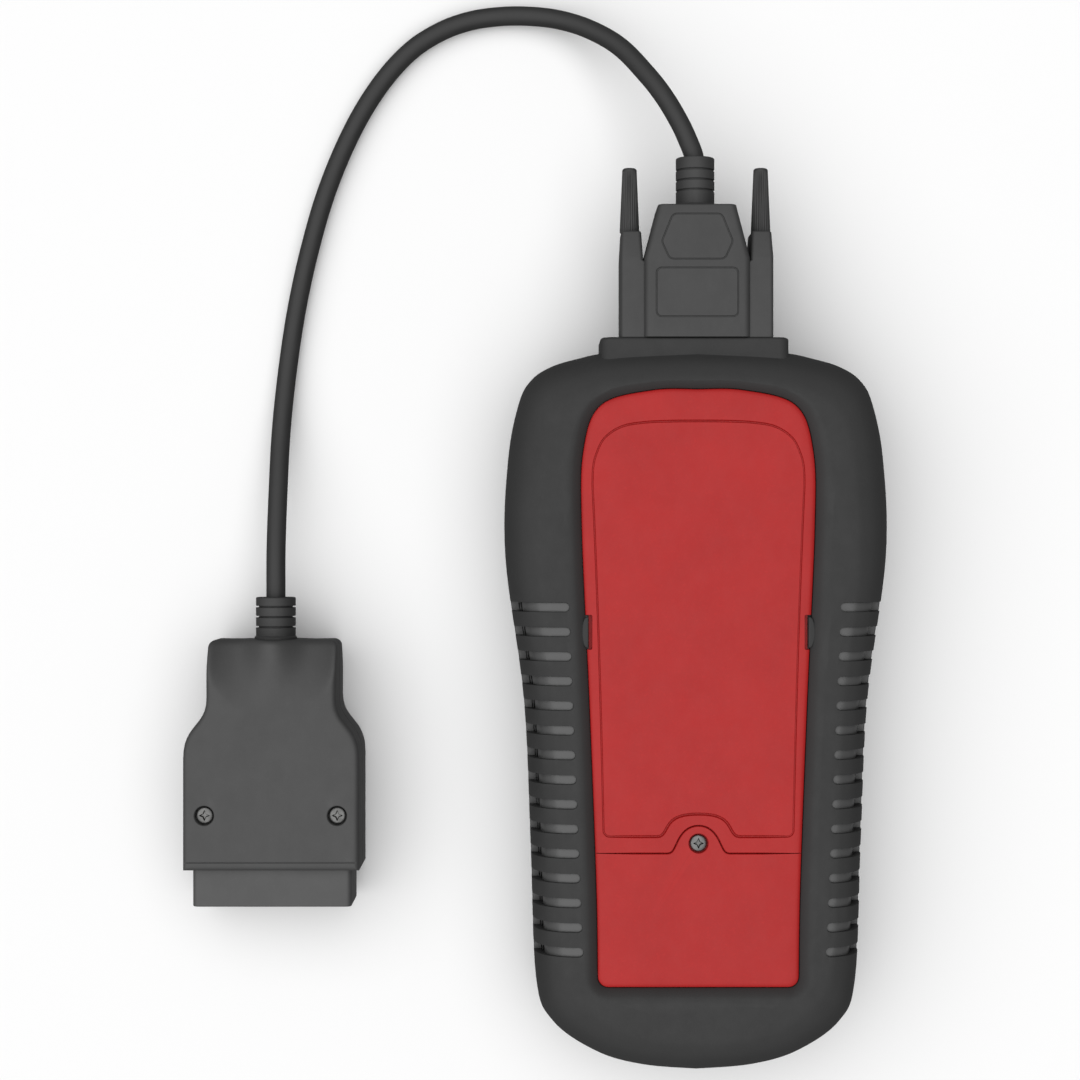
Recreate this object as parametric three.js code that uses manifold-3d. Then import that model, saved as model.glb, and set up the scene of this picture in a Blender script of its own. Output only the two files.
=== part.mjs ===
// Handheld vehicle code reader with its vehicle cable, lying on its front with the back upwards.
// Millimetres, +Z up, origin on the supporting surface under the middle of the handheld.

import * as THREE from 'three';
import { mergeVertices } from 'three/addons/utils/BufferGeometryUtils.js';
import Module from 'manifold-3d';

const wasm = await Module();
wasm.setup();

const GAP = 0.3;
const FAR = 60;

// The handheld is drawn from a line across it, and its middle is moved onto the origin
const MIDDLE_Y = -1.2;

// Case: half widths at heights along the handheld, from the foot to the head
const CASE_TOP = 34.6;
const CASE_SIDE = [
  [13.6, -92.4], [25.3, -89.1], [36.3, -81.5], [40.5, -70.5], [41.9, -36], [43.6, 0], [48.3, 36],
  [47.6, 60.5], [44.8, 75], [41.6, 80.8], [36.8, 84], [30.2, 86], [18, 87.3],
];
const CASE_HEAD = 87.4;
const CASE_FOOT = -93.5;
const SPLIT_Z = 18;
const BOOT_WALL = 3;
const HOUSING_WALL = 2.2;
const FACE_Z = 2.9;

// Surfaces round the case, as heights and how far each lies inside the outline
const BOOT_LEVELS = [
  [0, 5.2], [1.2, 2.8], [4.5, 0.9], [12, 0], [22, 0], [27.6, 1.2], [31.4, 3.8], [33.6, 7.2], [CASE_TOP, 11],
];
const HOUSING_LEVELS = [[2.6, 2.6], [6.5, 0], [24.5, 0], [28.6, 2.2], [31, 6.6]];
const BACK_RIB_LEVELS = [[18.3, 2.4], [22, 2.2], [26, 2.6], [29.5, 4.2], [31.8, 7], [33, 9.5], [33.8, 14.5]];
const FRONT_OPENING = 9.4;

// Back panel, battery door and what holds them
const PANEL_SIDE = [[25.4, -45], [27.1, 0], [29, 43], [28.6, 62.5], [24.2, 73.8], [11.3, 77.5]];
const PANEL_HEAD = 77.75;
const PANEL_FOOT = -71.1;
const PANEL_FOOT_HALF = 25;
const PANEL_CORNER = 2;
const PANEL_UNDER = 31;
const PANEL_LEVELS = [[PANEL_UNDER, 0], [32.5, 0], [32.9, 0.3], [33.2, 1.4], [33.45, 5], [33.6, 11]];
const CONTOUR_SIDE = [[24.6, 10], [26.4, 54], [23.4, 65.5]];
const CONTOUR_HEAD = 69.8;
const CONTOUR_FOOT = -33.5;
const CONTOUR_WIDTH = 0.5;
const CONTOUR_FLOOR = 32.9;
const DOOR_SPLIT_Y = -37.8;
const DOOR_TAB_HEAD = -30.9;
const DOOR_SCREW = { y: -35.2, top: 33.4, headRadius: 2.1, headHeight: 1, shankRadius: 1.25, foot: 24 };
const CLIP = { y: 17.25, length: 8.1, inner: 26.7, outer: 30.5, top: 33.2 };

// Grip slots through the sides of the boot: each pair's inner ends lie further in towards the foot
const SLOT_COUNT = 15;
const SLOT_TOP_Y = 23.3;
const SLOT_PITCH = 6.2;
const SLOT_WIDTH = 2.4;
const SLOT_FLOOR = 11;
const SLOT_ENDS = { right: [35.2, 31.5], left: [32, 28.6] };

// Battery and its bay
const BATTERY = { foot: -68.1, head: -41.6, under: 13.2, top: 30.7, halfWidth: 23.15, x: -1.55 };
const BAY = { halfWidth: 25, wall: 1.2, under: 11.8 };
const STUD = { halfSpacing: 6.35, z: 21.95, radius: 2.8, length: 1.9 };

// Fifteen-way port and cable hood
const PORT_Z = 20.5;
const JACK_SPACING = 33.32;
const COLLAR = { head: 91.1, halfWidth: 23.7, z: 19.25, halfHeight: 9.75, corner: 1 };
const PORT_OPENING = { halfWidth: 19.8, halfHeight: 6.6 };
const PORT_WALL_HEAD = 90.9;
const FLANGE_Y = 84.6;
const HOOD_FOOT = 91.4;
const HOOD = { halfWidth: 13.3, neckHalf: 9.9, shoulder: 110.2, head: 124.1, halfThickness: 9 };
const EAR = { halfWidth: 19.2, head: 117.4, halfThickness: 7.9 };
const HOOD_RELIEF = {
  foot: 124.4, head: 137.1, radius: 4.9, grooves: [128.45, 131.05, 133.65], depth: 0.5, stubFoot: 118,
};
const RELIEF_GROOVE = 0.5;
const RELIEF_STUB_RADIUS = 3.2;
const KNOB_HEAD = 134.2;
const SHAFT_RADIUS = 1.4;
const PIN_PITCH = 2.77;
const PIN_ROW_GAP = 2.84;

// Front side
const LCD = { halfWidth: 29, halfHeight: 22, y: 37 };
const PAD_Y = -28;
const KEY_UNDER = 1.3;
const BOARD = { halfWidth: 28.5, halfLength: 71.5, y: 4, under: 9.6, thickness: 1.6 };
const KEYS = [
  { name: 'key_up', x: 0, y: PAD_Y + 15, width: 14, height: 8 },
  { name: 'key_down', x: 0, y: PAD_Y - 15, width: 14, height: 8 },
  { name: 'key_left', x: -17, y: PAD_Y, width: 8, height: 14 },
  { name: 'key_right', x: 17, y: PAD_Y, width: 8, height: 14 },
  { name: 'key_ok', x: 0, y: PAD_Y, width: 14, height: 14 },
  { name: 'key_back', x: -19, y: PAD_Y - 25, width: 13, height: 7 },
  { name: 'key_help', x: 19, y: PAD_Y - 25, width: 13, height: 7 },
];
const CASE_SCREWS = {
  head_left: [-33, 66],
  head_right: [33, 66],
  foot_left: [-24.5, -74.5],
  foot_right: [24.5, -74.5],
};
const CASE_SCREW = { top: 24.5, headRadius: 2.8, headHeight: 2, shankRadius: 1.4, foot: 8 };
const BOARD_SCREWS = {
  head_left: [-24.5, 71],
  head_right: [24.5, 71],
  middle_left: [-24.5, -3.5],
  middle_right: [24.5, -3.5],
};
const BOARD_SCREW = { top: 13.1, headRadius: 2.2, headHeight: 1.6, shankRadius: 0.9, foot: 6.4 };

// Vehicle plug
const PLUG_X = -107.5;
const PLUG_Z = 12;
const PLUG_THICKNESS = 24;
const PLUG_HEAD = 15.2;
const PLUG_FOOT = -43.2;
const PLUG_HALF = 22.3;
const PLUG_NECK_HALF = 16.4;
const PLUG_WALL = 2;
const PLUG_SCREWS = { x: 16.8, y: -29.5 };
const PLUG_SCREW = { top: 23.5, headRadius: 2.15, headHeight: 1.2, shankRadius: 1.25, foot: 5 };
const NOSE = { foot: -53, root: -34, halfWidth: 20.2, halfHeight: 8.9, wall: 1.6, lip: 0.4 };
const PLUG_RELIEF = {
  foot: 15.5, head: 25.5, radius: 5.1, grooves: [17.65, 20.25, 22.85], depth: 0.7, stubFoot: 9,
};
const BLADE = { perRow: 8, pitch: 4, halfWidth: 0.75, halfHeight: 0.4, rowOffset: 4.2, foot: -50.5 };

// Cord
const CORD_RADIUS = 2.5;
const CORD_STEPS = 48;
const CORD_ROUTE = [
  [-0.45, 138.3, 20.5], [-1.4, 140.8, 20.5], [-3.7, 146, 20.1], [-7.6, 153, 18.7], [-11.8, 159, 16.6],
  [-18.8, 167.3, 12.3], [-26.4, 172.6, 8.5], [-34.2, 175.8, 5.4], [-42, 177.2, 3.5],
  [-50, 177.3, 2.7], [-58, 176.1, 2.6], [-65.6, 173.3, 2.6], [-73.4, 168.2, 2.6], [-81.3, 159.4, 2.6],
  [-88.5, 147.5, 2.6], [-95.1, 132, 2.6], [-99.8, 116, 2.6], [-103.2, 100.3, 2.6], [-105.5, 84.8, 2.8],
  [-106.9, 69, 5], [-107.3, 53.2, 8.8], [-107.5, 37.6, 11.7], [-107.5, 25.8, 12],
];

// ---------- solids ----------

// Merges shared corners, and drops the zero-area triangles left at poles and tight corners
function solid(geometry) {
  const bare = geometry.clone();
  bare.deleteAttribute('normal');
  bare.deleteAttribute('uv');
  const merged = mergeVertices(bare, 1e-4);
  const index = merged.index.array;
  const kept = [];
  for (let i = 0; i < index.length; i += 3) {
    const [a, b, c] = [index[i], index[i + 1], index[i + 2]];
    if (a !== b && b !== c && c !== a) kept.push(a, b, c);
  }
  return new wasm.Manifold(new wasm.Mesh({
    numProp: 3,
    vertProperties: new Float32Array(merged.attributes.position.array),
    triVerts: new Uint32Array(kept),
  }));
}

function geometryOf(manifold) {
  const mesh = manifold.getMesh();
  const geometry = new THREE.BufferGeometry();
  geometry.setAttribute('position', new THREE.BufferAttribute(mesh.vertProperties, 3));
  geometry.setIndex(new THREE.BufferAttribute(mesh.triVerts, 1));
  geometry.computeVertexNormals();
  return geometry;
}

function union(...parts) {
  return parts.reduce((whole, part) => whole.add(part));
}

function cut(whole, ...parts) {
  return parts.reduce((rest, part) => rest.subtract(part), whole);
}

function box(xs, ys, zs) {
  const geometry = new THREE.BoxGeometry(xs[1] - xs[0], ys[1] - ys[0], zs[1] - zs[0]);
  geometry.translate((xs[0] + xs[1]) / 2, (ys[0] + ys[1]) / 2, (zs[0] + zs[1]) / 2);
  return solid(geometry);
}

function rod(radius, x, y, zs, segments = 12) {
  const geometry = new THREE.CylinderGeometry(radius, radius, zs[1] - zs[0], segments);
  geometry.rotateX(Math.PI / 2);
  geometry.translate(x, y, (zs[0] + zs[1]) / 2);
  return solid(geometry);
}

function rodAlongY(radius, x, z, ys, segments = 12) {
  const geometry = new THREE.CylinderGeometry(radius, radius, ys[1] - ys[0], segments);
  geometry.translate(x, (ys[0] + ys[1]) / 2, z);
  return solid(geometry);
}

function points(pairs) {
  return pairs.map(([x, y]) => new THREE.Vector2(x, y));
}

// A turned piece whose profile is given as [radius, y] pairs, closed on the axis
function turnedAlongY(profile, x, z, segments) {
  const geometry = new THREE.LatheGeometry(points(profile), segments);
  geometry.translate(x, 0, z);
  return solid(geometry);
}

// A flat plate from z = under to z = top, with its two rims rounded inwards
function plate(edge, under, top, round = 0) {
  const geometry = new THREE.ExtrudeGeometry(new THREE.Shape(edge), {
    depth: top - under - 2 * round,
    bevelEnabled: round > 0,
    bevelThickness: round,
    bevelSize: round,
    bevelOffset: -round,
    bevelSegments: 1,
  });
  geometry.translate(0, 0, under + round);
  return solid(geometry);
}

// The same plate, standing up: its outline is in X and Z, and it runs from y = foot to y = head
function plateAlongY(edge, foot, head, round = 0) {
  const geometry = geometryOf(plate(edge, -head, -foot, round));
  geometry.rotateX(Math.PI / 2);
  return solid(geometry);
}

// A body of stacked copies of one outline. Each level is a height and how far the outline shrinks.
function loft(outline, levels) {
  const bounds = new THREE.Box2().setFromPoints(outline);
  const middle = bounds.getCenter(new THREE.Vector2());
  const half = bounds.getSize(new THREE.Vector2()).multiplyScalar(0.5);
  const count = outline.length;
  const positions = [];
  for (const [height, inset] of levels) {
    for (const point of outline) {
      positions.push(
        middle.x + (point.x - middle.x) * (1 - inset / half.x),
        middle.y + (point.y - middle.y) * (1 - inset / half.y),
        height,
      );
    }
  }
  const faces = THREE.ShapeUtils.triangulateShape(outline, []);
  const lid = (levels.length - 1) * count;
  const index = faces.flatMap(([a, b, c]) => [c, b, a, lid + a, lid + b, lid + c]);
  for (let level = 0; level < levels.length - 1; level += 1) {
    for (let i = 0; i < count; i += 1) {
      const a = level * count + i;
      const b = level * count + (i + 1) % count;
      index.push(a, b, b + count, a, b + count, a + count);
    }
  }
  const geometry = new THREE.BufferGeometry();
  geometry.setAttribute('position', new THREE.Float32BufferAttribute(positions, 3));
  geometry.setIndex(index);
  return solid(geometry);
}

// ---------- outlines ----------

// Closes a right-hand edge, drawn from the foot to the head, with its mirror image
function mirrored(path, divisions = 4) {
  const right = path.getPoints(divisions);
  const left = right.filter((point) => point.x > 0.01).reverse();
  return [...right, ...left.map((point) => new THREE.Vector2(-point.x, point.y))];
}

function roundedRectangle(halfWidth, halfHeight, radius, x = 0, y = 0) {
  const shape = new THREE.Shape();
  shape.absarc(x + halfWidth - radius, y + halfHeight - radius, radius, 0, Math.PI / 2);
  shape.absarc(x - halfWidth + radius, y + halfHeight - radius, radius, Math.PI / 2, Math.PI);
  shape.absarc(x - halfWidth + radius, y - halfHeight + radius, radius, Math.PI, Math.PI * 1.5);
  shape.absarc(x + halfWidth - radius, y - halfHeight + radius, radius, Math.PI * 1.5, Math.PI * 2);
  return shape.getPoints(2);
}

// The D-shaped section of the fifteen-way port, wider at the top by 10 degrees a side
function dOutline(halfWidth, halfHeight) {
  const taper = halfHeight * Math.tan(Math.PI / 18);
  return points([
    [halfWidth - taper, PORT_Z - halfHeight],
    [halfWidth + taper, PORT_Z + halfHeight],
    [-halfWidth - taper, PORT_Z + halfHeight],
    [-halfWidth + taper, PORT_Z - halfHeight],
  ]);
}

function caseOutline() {
  const path = new THREE.Path();
  path.moveTo(0, CASE_FOOT);
  path.splineThru(points([...CASE_SIDE, [0, CASE_HEAD]]));
  return mirrored(path, 2);
}

function panelOutline(grow = 0) {
  const foot = PANEL_FOOT - grow;
  const side = PANEL_FOOT_HALF + grow;
  const grown = PANEL_SIDE.map(([x, y]) => [x + grow, y + grow * y / PANEL_HEAD]);
  const path = new THREE.Path();
  path.moveTo(0, foot);
  path.lineTo(side - PANEL_CORNER, foot);
  path.quadraticCurveTo(side, foot, side, foot + PANEL_CORNER);
  path.splineThru(points([...grown, [0, PANEL_HEAD + grow]]));
  return mirrored(path, 2);
}

// The battery door: its foot is the panel's, and an arched tab stands on its head
function doorOutline(grow) {
  const path = new THREE.Path();
  path.moveTo(0, PANEL_FOOT - 5);
  path.lineTo(40, PANEL_FOOT - 5);
  path.lineTo(40, DOOR_SPLIT_Y + grow);
  path.lineTo(7.7 + grow, DOOR_SPLIT_Y + grow);
  path.quadraticCurveTo(6.2 + grow, DOOR_SPLIT_Y + grow, 5.4 + grow, DOOR_SPLIT_Y + 2.4);
  const tabHead = DOOR_TAB_HEAD + grow;
  path.bezierCurveTo(4.2 + grow, tabHead - 1.5, 2.4, tabHead, 0, tabHead);
  return mirrored(path, 5);
}

function plugOutline() {
  const path = new THREE.Path();
  path.moveTo(0, PLUG_FOOT);
  path.lineTo(PLUG_HALF, PLUG_FOOT);
  path.lineTo(PLUG_HALF, -15);
  path.bezierCurveTo(PLUG_HALF, -6.5, PLUG_NECK_HALF, -7, PLUG_NECK_HALF, 0);
  path.lineTo(PLUG_NECK_HALF, PLUG_HEAD - 2.4);
  path.quadraticCurveTo(PLUG_NECK_HALF, PLUG_HEAD, PLUG_NECK_HALF - 2.4, PLUG_HEAD);
  path.lineTo(0, PLUG_HEAD);
  return mirrored(path, 5).map((point) => new THREE.Vector2(point.x + PLUG_X, point.y));
}

// ---------- materials ----------

const finish = (color, roughness, metalness = 0) => () => (
  new THREE.MeshStandardMaterial({ color, roughness, metalness })
);
const rubber = finish(0x2e2e2e, 0.8);
const redPlastic = finish(0xb02a2a, 0.55);
const greyPlastic = finish(0x4c4c4c, 0.6);
const darkPlastic = finish(0x3a3a3a, 0.6);
const blackPlastic = finish(0x161616, 0.5);
const steel = finish(0xb8b8b8, 0.35, 1);
const brass = finish(0xc9a85a, 0.35, 1);
const boardGreen = finish(0x1f5c34, 0.5);
const clearPlastic = finish(0x9fb0a8, 0.1);
const paleKey = finish(0xc8c8c8, 0.6);

// ---------- assembly ----------

const reader = new THREE.Group();
const groups = {};
for (const name of ['handheld', 'front', 'cable', 'plug']) {
  groups[name] = new THREE.Group();
  reader.add(groups[name]);
}

function place(group, name, manifold, material) {
  const mesh = new THREE.Mesh(geometryOf(manifold.translate([0, -MIDDLE_Y, 0])), material());
  mesh.name = name;
  groups[group].add(mesh);
}

// A cross-head screw standing along Z with its head uppermost, its recess open at the top
function crossHeadScrew(x, y, { top, headRadius, headHeight, shankRadius, foot }) {
  const neck = top - headHeight;
  const profile = [
    [0, foot], [shankRadius, foot], [shankRadius, neck], [headRadius, neck],
    [headRadius, top - headHeight * 0.35], [headRadius * 0.8, top], [0, top],
  ];
  const lathe = new THREE.LatheGeometry(points(profile), 12);
  lathe.rotateX(Math.PI / 2);
  const body = solid(lathe).translate([x, y, 0]);
  const arm = headRadius * 0.55;
  const slit = headRadius * 0.16;
  const recess = [top - headHeight * 0.6, top + 1];
  return cut(
    body,
    box([x - arm, x + arm], [y - slit, y + slit], recess),
    box([x - slit, x + slit], [y - arm, y + arm], recess),
  );
}

const outline = caseOutline();
const batteryMiddle = (BATTERY.foot + BATTERY.head) / 2;

// The housing's outer surface, or a surface parallel to it, as levels for a loft
function housingLevels(depth, foot, head) {
  const insetAt = (z) => {
    const k = HOUSING_LEVELS.findIndex(([height]) => height >= z);
    if (k <= 0) return HOUSING_LEVELS[k === 0 ? 0 : HOUSING_LEVELS.length - 1][1];
    const [[z0, i0], [z1, i1]] = [HOUSING_LEVELS[k - 1], HOUSING_LEVELS[k]];
    return i0 + (i1 - i0) * (z - z0) / (z1 - z0);
  };
  const inner = HOUSING_LEVELS.map(([z]) => z).filter((z) => z > foot && z < head);
  return [foot, ...inner, head].map((z) => [z, insetAt(z) + depth]);
}

// The space of every grip slot, or what fills it when margin is the clearance left round it
function slotSpaces(zs, margin = 0) {
  const halfWidth = SLOT_WIDTH / 2 - margin;
  const spaces = [];
  for (let i = 0; i < SLOT_COUNT; i += 1) {
    const y = SLOT_TOP_Y - i * SLOT_PITCH;
    const share = i / (SLOT_COUNT - 1);
    const endAt = ([first, last]) => first + (last - first) * share + margin;
    const ys = [y - halfWidth, y + halfWidth];
    spaces.push(box([endAt(SLOT_ENDS.right), FAR], ys, zs));
    spaces.push(box([endAt(SLOT_ENDS.left), FAR], ys, zs).mirror([1, 0, 0]));
  }
  return union(...spaces);
}

// The collar round the port, its two outer corners rounded
function buildCollar() {
  const { head, halfWidth, z, halfHeight, corner } = COLLAR;
  const plan = new THREE.Path();
  plan.moveTo(0, head - 15);
  plan.lineTo(halfWidth, head - 15);
  plan.lineTo(halfWidth, head - corner);
  plan.absarc(halfWidth - corner, head - corner, corner, 0, Math.PI / 2);
  plan.lineTo(0, head);
  const body = plate(mirrored(plan, 3), z - halfHeight, z + halfHeight);
  const section = roundedRectangle(halfWidth, halfHeight, 3, 0, z);
  return body.intersect(plateAlongY(section, head - 20, head + 1));
}

function buildBoot() {
  let boot = cut(
    union(loft(outline, BOOT_LEVELS), buildCollar()),
    loft(outline, housingLevels(BOOT_WALL, HOUSING_LEVELS[0][0], PANEL_UNDER)),
    loft(outline, [[-1, FRONT_OPENING], [3, FRONT_OPENING]]),
    loft(panelOutline(0.4), [[PANEL_UNDER - 1, 0], [32.4, 0], [34.8, -2.4]]),
    box(
      [-PORT_OPENING.halfWidth, PORT_OPENING.halfWidth],
      [80, 95],
      [PORT_Z - PORT_OPENING.halfHeight, PORT_Z + PORT_OPENING.halfHeight],
    ),
    slotSpaces([SLOT_FLOOR, 40]),
  );
  const ys = [CLIP.y - CLIP.length / 2, CLIP.y + CLIP.length / 2];
  boot = union(boot, box([CLIP.inner, CLIP.outer], ys, [PANEL_UNDER, CLIP.top]));
  return union(boot, box([-CLIP.outer, -CLIP.inner], ys, [PANEL_UNDER, CLIP.top]));
}

function buildFrontHousing() {
  const floor = FACE_Z + HOUSING_WALL;
  const ledges = loft(outline, [[SLOT_FLOOR + GAP, GAP], [SPLIT_Z, GAP]]);
  let housing = cut(
    union(
      loft(outline, housingLevels(BOOT_WALL + GAP, FACE_Z, SPLIT_Z)),
      ledges.intersect(slotSpaces([SLOT_FLOOR + GAP, SPLIT_Z], GAP)),
    ),
    loft(outline, housingLevels(BOOT_WALL + GAP + HOUSING_WALL, floor, SPLIT_Z + 1)),
  );
  for (const [x, y] of Object.values(CASE_SCREWS)) {
    housing = cut(union(housing, rod(3.2, x, y, [floor - 0.5, SPLIT_Z])), rod(1.75, x, y, [7, SPLIT_Z + 1]));
  }
  for (const [x, y] of Object.values(BOARD_SCREWS)) {
    const post = rod(2.4, x, y, [floor - 0.5, BOARD.under - GAP]);
    housing = cut(union(housing, post), rod(1.2, x, y, [5.6, BOARD.under]));
  }
  housing = cut(
    housing,
    plate(screenOutline(2.3, 3), FACE_Z - 1, 4.4),
    plate(screenOutline(-1, 2), 4, floor + 1),
    box([-19, 19], [80, 90], [PORT_Z - 5, SPLIT_Z + 1]),
  );
  for (const key of KEYS) {
    housing = cut(housing, plate(keyOutline(key, 0.35), FACE_Z - 1, floor + 1));
  }
  return housing;
}

function screenOutline(grow, corner) {
  return roundedRectangle(LCD.halfWidth + grow, LCD.halfHeight + grow, corner, 0, LCD.y);
}

function keyOutline(key, grow) {
  const halfWidth = key.width / 2;
  const halfHeight = key.height / 2;
  const radius = Math.min(halfWidth, halfHeight) * 0.8;
  return roundedRectangle(halfWidth + grow, halfHeight + grow, radius + grow, key.x, key.y);
}

function buildKey(key) {
  const cap = plate(keyOutline(key, 0), KEY_UNDER, 5.8, 0.6);
  const flange = plate(keyOutline(key, 0.9), 5.4, 6.4);
  return union(cap, flange);
}

function buildBackHousing() {
  const foot = SPLIT_Z + GAP;
  const depth = BOOT_WALL + GAP;
  const top = PANEL_UNDER - GAP;
  const ribs = loft(outline, BACK_RIB_LEVELS).intersect(slotSpaces([foot, CASE_TOP], GAP));
  let housing = cut(
    union(loft(outline, housingLevels(depth, foot, top)), ribs),
    loft(outline, housingLevels(depth + HOUSING_WALL, foot - 1, top - HOUSING_WALL)),
  );
  const bayOuter = BAY.halfWidth + BAY.wall;
  const bayYs = [BATTERY.foot - GAP, BATTERY.head + GAP];
  housing = union(
    housing,
    box([-bayOuter, bayOuter], [bayYs[0] - 1.8, bayYs[1] + 1.9], [BAY.under, top - 1]),
  );
  housing = cut(housing, box([-BAY.halfWidth, BAY.halfWidth], bayYs, [BATTERY.under - GAP, top + 1]));
  for (const [x, y] of Object.values(CASE_SCREWS)) {
    const post = rod(4.2, x, y, [foot, top - 1.5]);
    housing = cut(union(housing, post), rod(3.2, x, y, [22, top + 1]), rod(1.75, x, y, [foot - 1, 23]));
  }
  const screwPost = rod(3.2, 0, DOOR_SCREW.y, [20, top - 1]);
  housing = cut(
    union(housing, screwPost),
    rod(1.6, 0, DOOR_SCREW.y, [22, top + 1]),
    box([-19, 19], [80, 90], [foot - 1, PORT_Z + 5]),
  );
  return housing;
}

function panelBlank() {
  return loft(panelOutline(), PANEL_LEVELS);
}

// The thin line round the panel, rising in an arch over the door's tab
function contourGroove() {
  const edge = (inset) => {
    const foot = CONTOUR_FOOT + inset;
    const archHead = foot + 5.6;
    const corner = 23.6 - inset;
    const side = CONTOUR_SIDE.map(([x, y]) => [x - inset, y]);
    const path = new THREE.Path();
    path.moveTo(0, archHead);
    path.bezierCurveTo(4, archHead, 6.4, foot + 4.9, 7.7, foot + 2.5);
    path.quadraticCurveTo(8.9, foot, 10.3, foot);
    path.lineTo(corner - 2, foot);
    path.quadraticCurveTo(corner, foot, corner, CONTOUR_FOOT + 2);
    path.splineThru(points([...side, [13.3, CONTOUR_HEAD - 0.4 - inset], [0, CONTOUR_HEAD - inset]]));
    return mirrored(path, 2);
  };
  return cut(plate(edge(0), CONTOUR_FLOOR, 35), plate(edge(CONTOUR_WIDTH), CONTOUR_FLOOR - 1, 36));
}

// The notch in the panel's edge for one of the boot's clips
function clipNotch(side) {
  const halfLength = CLIP.length / 2 + 0.4;
  const notch = box([CLIP.inner - GAP, 34], [CLIP.y - halfLength, CLIP.y + halfLength], [30, 36]);
  return side > 0 ? notch : notch.mirror([1, 0, 0]);
}

function buildPanel() {
  return cut(panelBlank(), plate(doorOutline(0.35), 30, 36), contourGroove(), clipNotch(-1), clipNotch(1));
}

function buildDoor() {
  return cut(
    panelBlank().intersect(plate(doorOutline(0), 30, 36)),
    rod(2.4, 0, DOOR_SCREW.y, [32.1, 36], 20),
    rod(1.6, 0, DOOR_SCREW.y, [30, 33]),
  );
}

// A short rod across the handheld, one for each of the battery's two studs
function studRods(radius, x, length) {
  return [-STUD.halfSpacing, STUD.halfSpacing].map((offset) => {
    const geometry = new THREE.CylinderGeometry(radius, radius, length, 12);
    geometry.rotateZ(Math.PI / 2);
    geometry.translate(x, batteryMiddle + offset, STUD.z);
    return solid(geometry);
  });
}

function buildBattery() {
  const half = (BATTERY.head - BATTERY.foot) / 2;
  const can = roundedRectangle(BATTERY.halfWidth, half, 2, BATTERY.x, batteryMiddle);
  return union(plate(can, BATTERY.under, BATTERY.top, 0.8), ...studRods(STUD.radius, 22.25, STUD.length));
}

function buildSnap() {
  const plateBody = box([21.9, 24.7], [batteryMiddle - 12, batteryMiddle + 12], [16.5, 27.5]);
  return cut(plateBody, ...studRods(STUD.radius + 0.4, 22.1, 3));
}

function buildBoard() {
  const top = BOARD.under + BOARD.thickness;
  const board = plate(roundedRectangle(BOARD.halfWidth, BOARD.halfLength, 2, 0, BOARD.y), BOARD.under, top);
  return cut(board, ...Object.values(BOARD_SCREWS).map(([x, y]) => rod(1.6, x, y, [9, 12], 12)));
}

function buildMembrane() {
  const sheet = plate(roundedRectangle(27, 26, 3, 0, -34), 8.1, BOARD.under - GAP);
  return union(sheet, ...KEYS.map((key) => rod(2.6, key.x, key.y, [7.5, 8.5], 12)));
}

// Where the fifteen contacts stand: a row of eight over a row of seven
function contactPlaces() {
  const row = (count, z) => Array.from({ length: count }, (_, i) => [(i - (count - 1) / 2) * PIN_PITCH, z]);
  return [...row(8, PORT_Z + PIN_ROW_GAP / 2), ...row(7, PORT_Z - PIN_ROW_GAP / 2)];
}

function buildPort() {
  const flangeFace = FLANGE_Y + 0.8;
  const flange = plateAlongY(roundedRectangle(19.3, 6.25, 1.5, 0, PORT_Z), FLANGE_Y, flangeFace);
  const wall = plateAlongY(dOutline(12.8, 4.65), FLANGE_Y, PORT_WALL_HEAD);
  let shell = cut(union(flange, wall), plateAlongY(dOutline(12.3, 4.15), FLANGE_Y - 1, 93));
  for (const side of [-1, 1]) {
    shell = cut(shell, rodAlongY(1.7, side * JACK_SPACING / 2, PORT_Z, [80, 95]));
  }
  const block = box([-11.5, 11.5], [78, 84.3], [PORT_Z - 3.6, PORT_Z + 3.6]);
  const riser = box([-11.5, 11.5], [70.5, 78.5], [11.5, PORT_Z + 3.6]);
  const face = plateAlongY(dOutline(11.6, 3.5), 84, 86.2);
  const pins = contactPlaces().map(([x, z]) => rodAlongY(0.5, x, z, [85.5, 90.6], 6));
  return { shell, insert: union(block, riser, face, ...pins) };
}

function buildJackNut(side) {
  const nut = rodAlongY(2.7, side * JACK_SPACING / 2, PORT_Z, [85.7, PORT_WALL_HEAD - GAP], 6);
  return cut(nut, rodAlongY(1.75, side * JACK_SPACING / 2, PORT_Z, [85, 92]));
}

function buildCablePlug() {
  const flange = plateAlongY(roundedRectangle(18.6, 5.9, 1.5, 0, PORT_Z), 92.2, 92.9);
  const wall = plateAlongY(dOutline(11.95, 3.8), 87, 92.9);
  let shell = cut(union(flange, wall), plateAlongY(dOutline(11.5, 3.35), 86, 94));
  for (const side of [-1, 1]) {
    shell = cut(shell, rodAlongY(SHAFT_RADIUS + GAP, side * JACK_SPACING / 2, PORT_Z, [90, 95]));
  }
  const face = plateAlongY(dOutline(11.15, 3), 87.1, 93.3);
  const block = box([-11.9, 11.9], [93.2, 99], [PORT_Z - 3.6, PORT_Z + 3.6]);
  const sockets = contactPlaces().map(([x, z]) => rodAlongY(0.85, x, z, [86, 91.6], 6));
  return { shell, insert: cut(union(face, block), ...sockets) };
}

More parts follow.
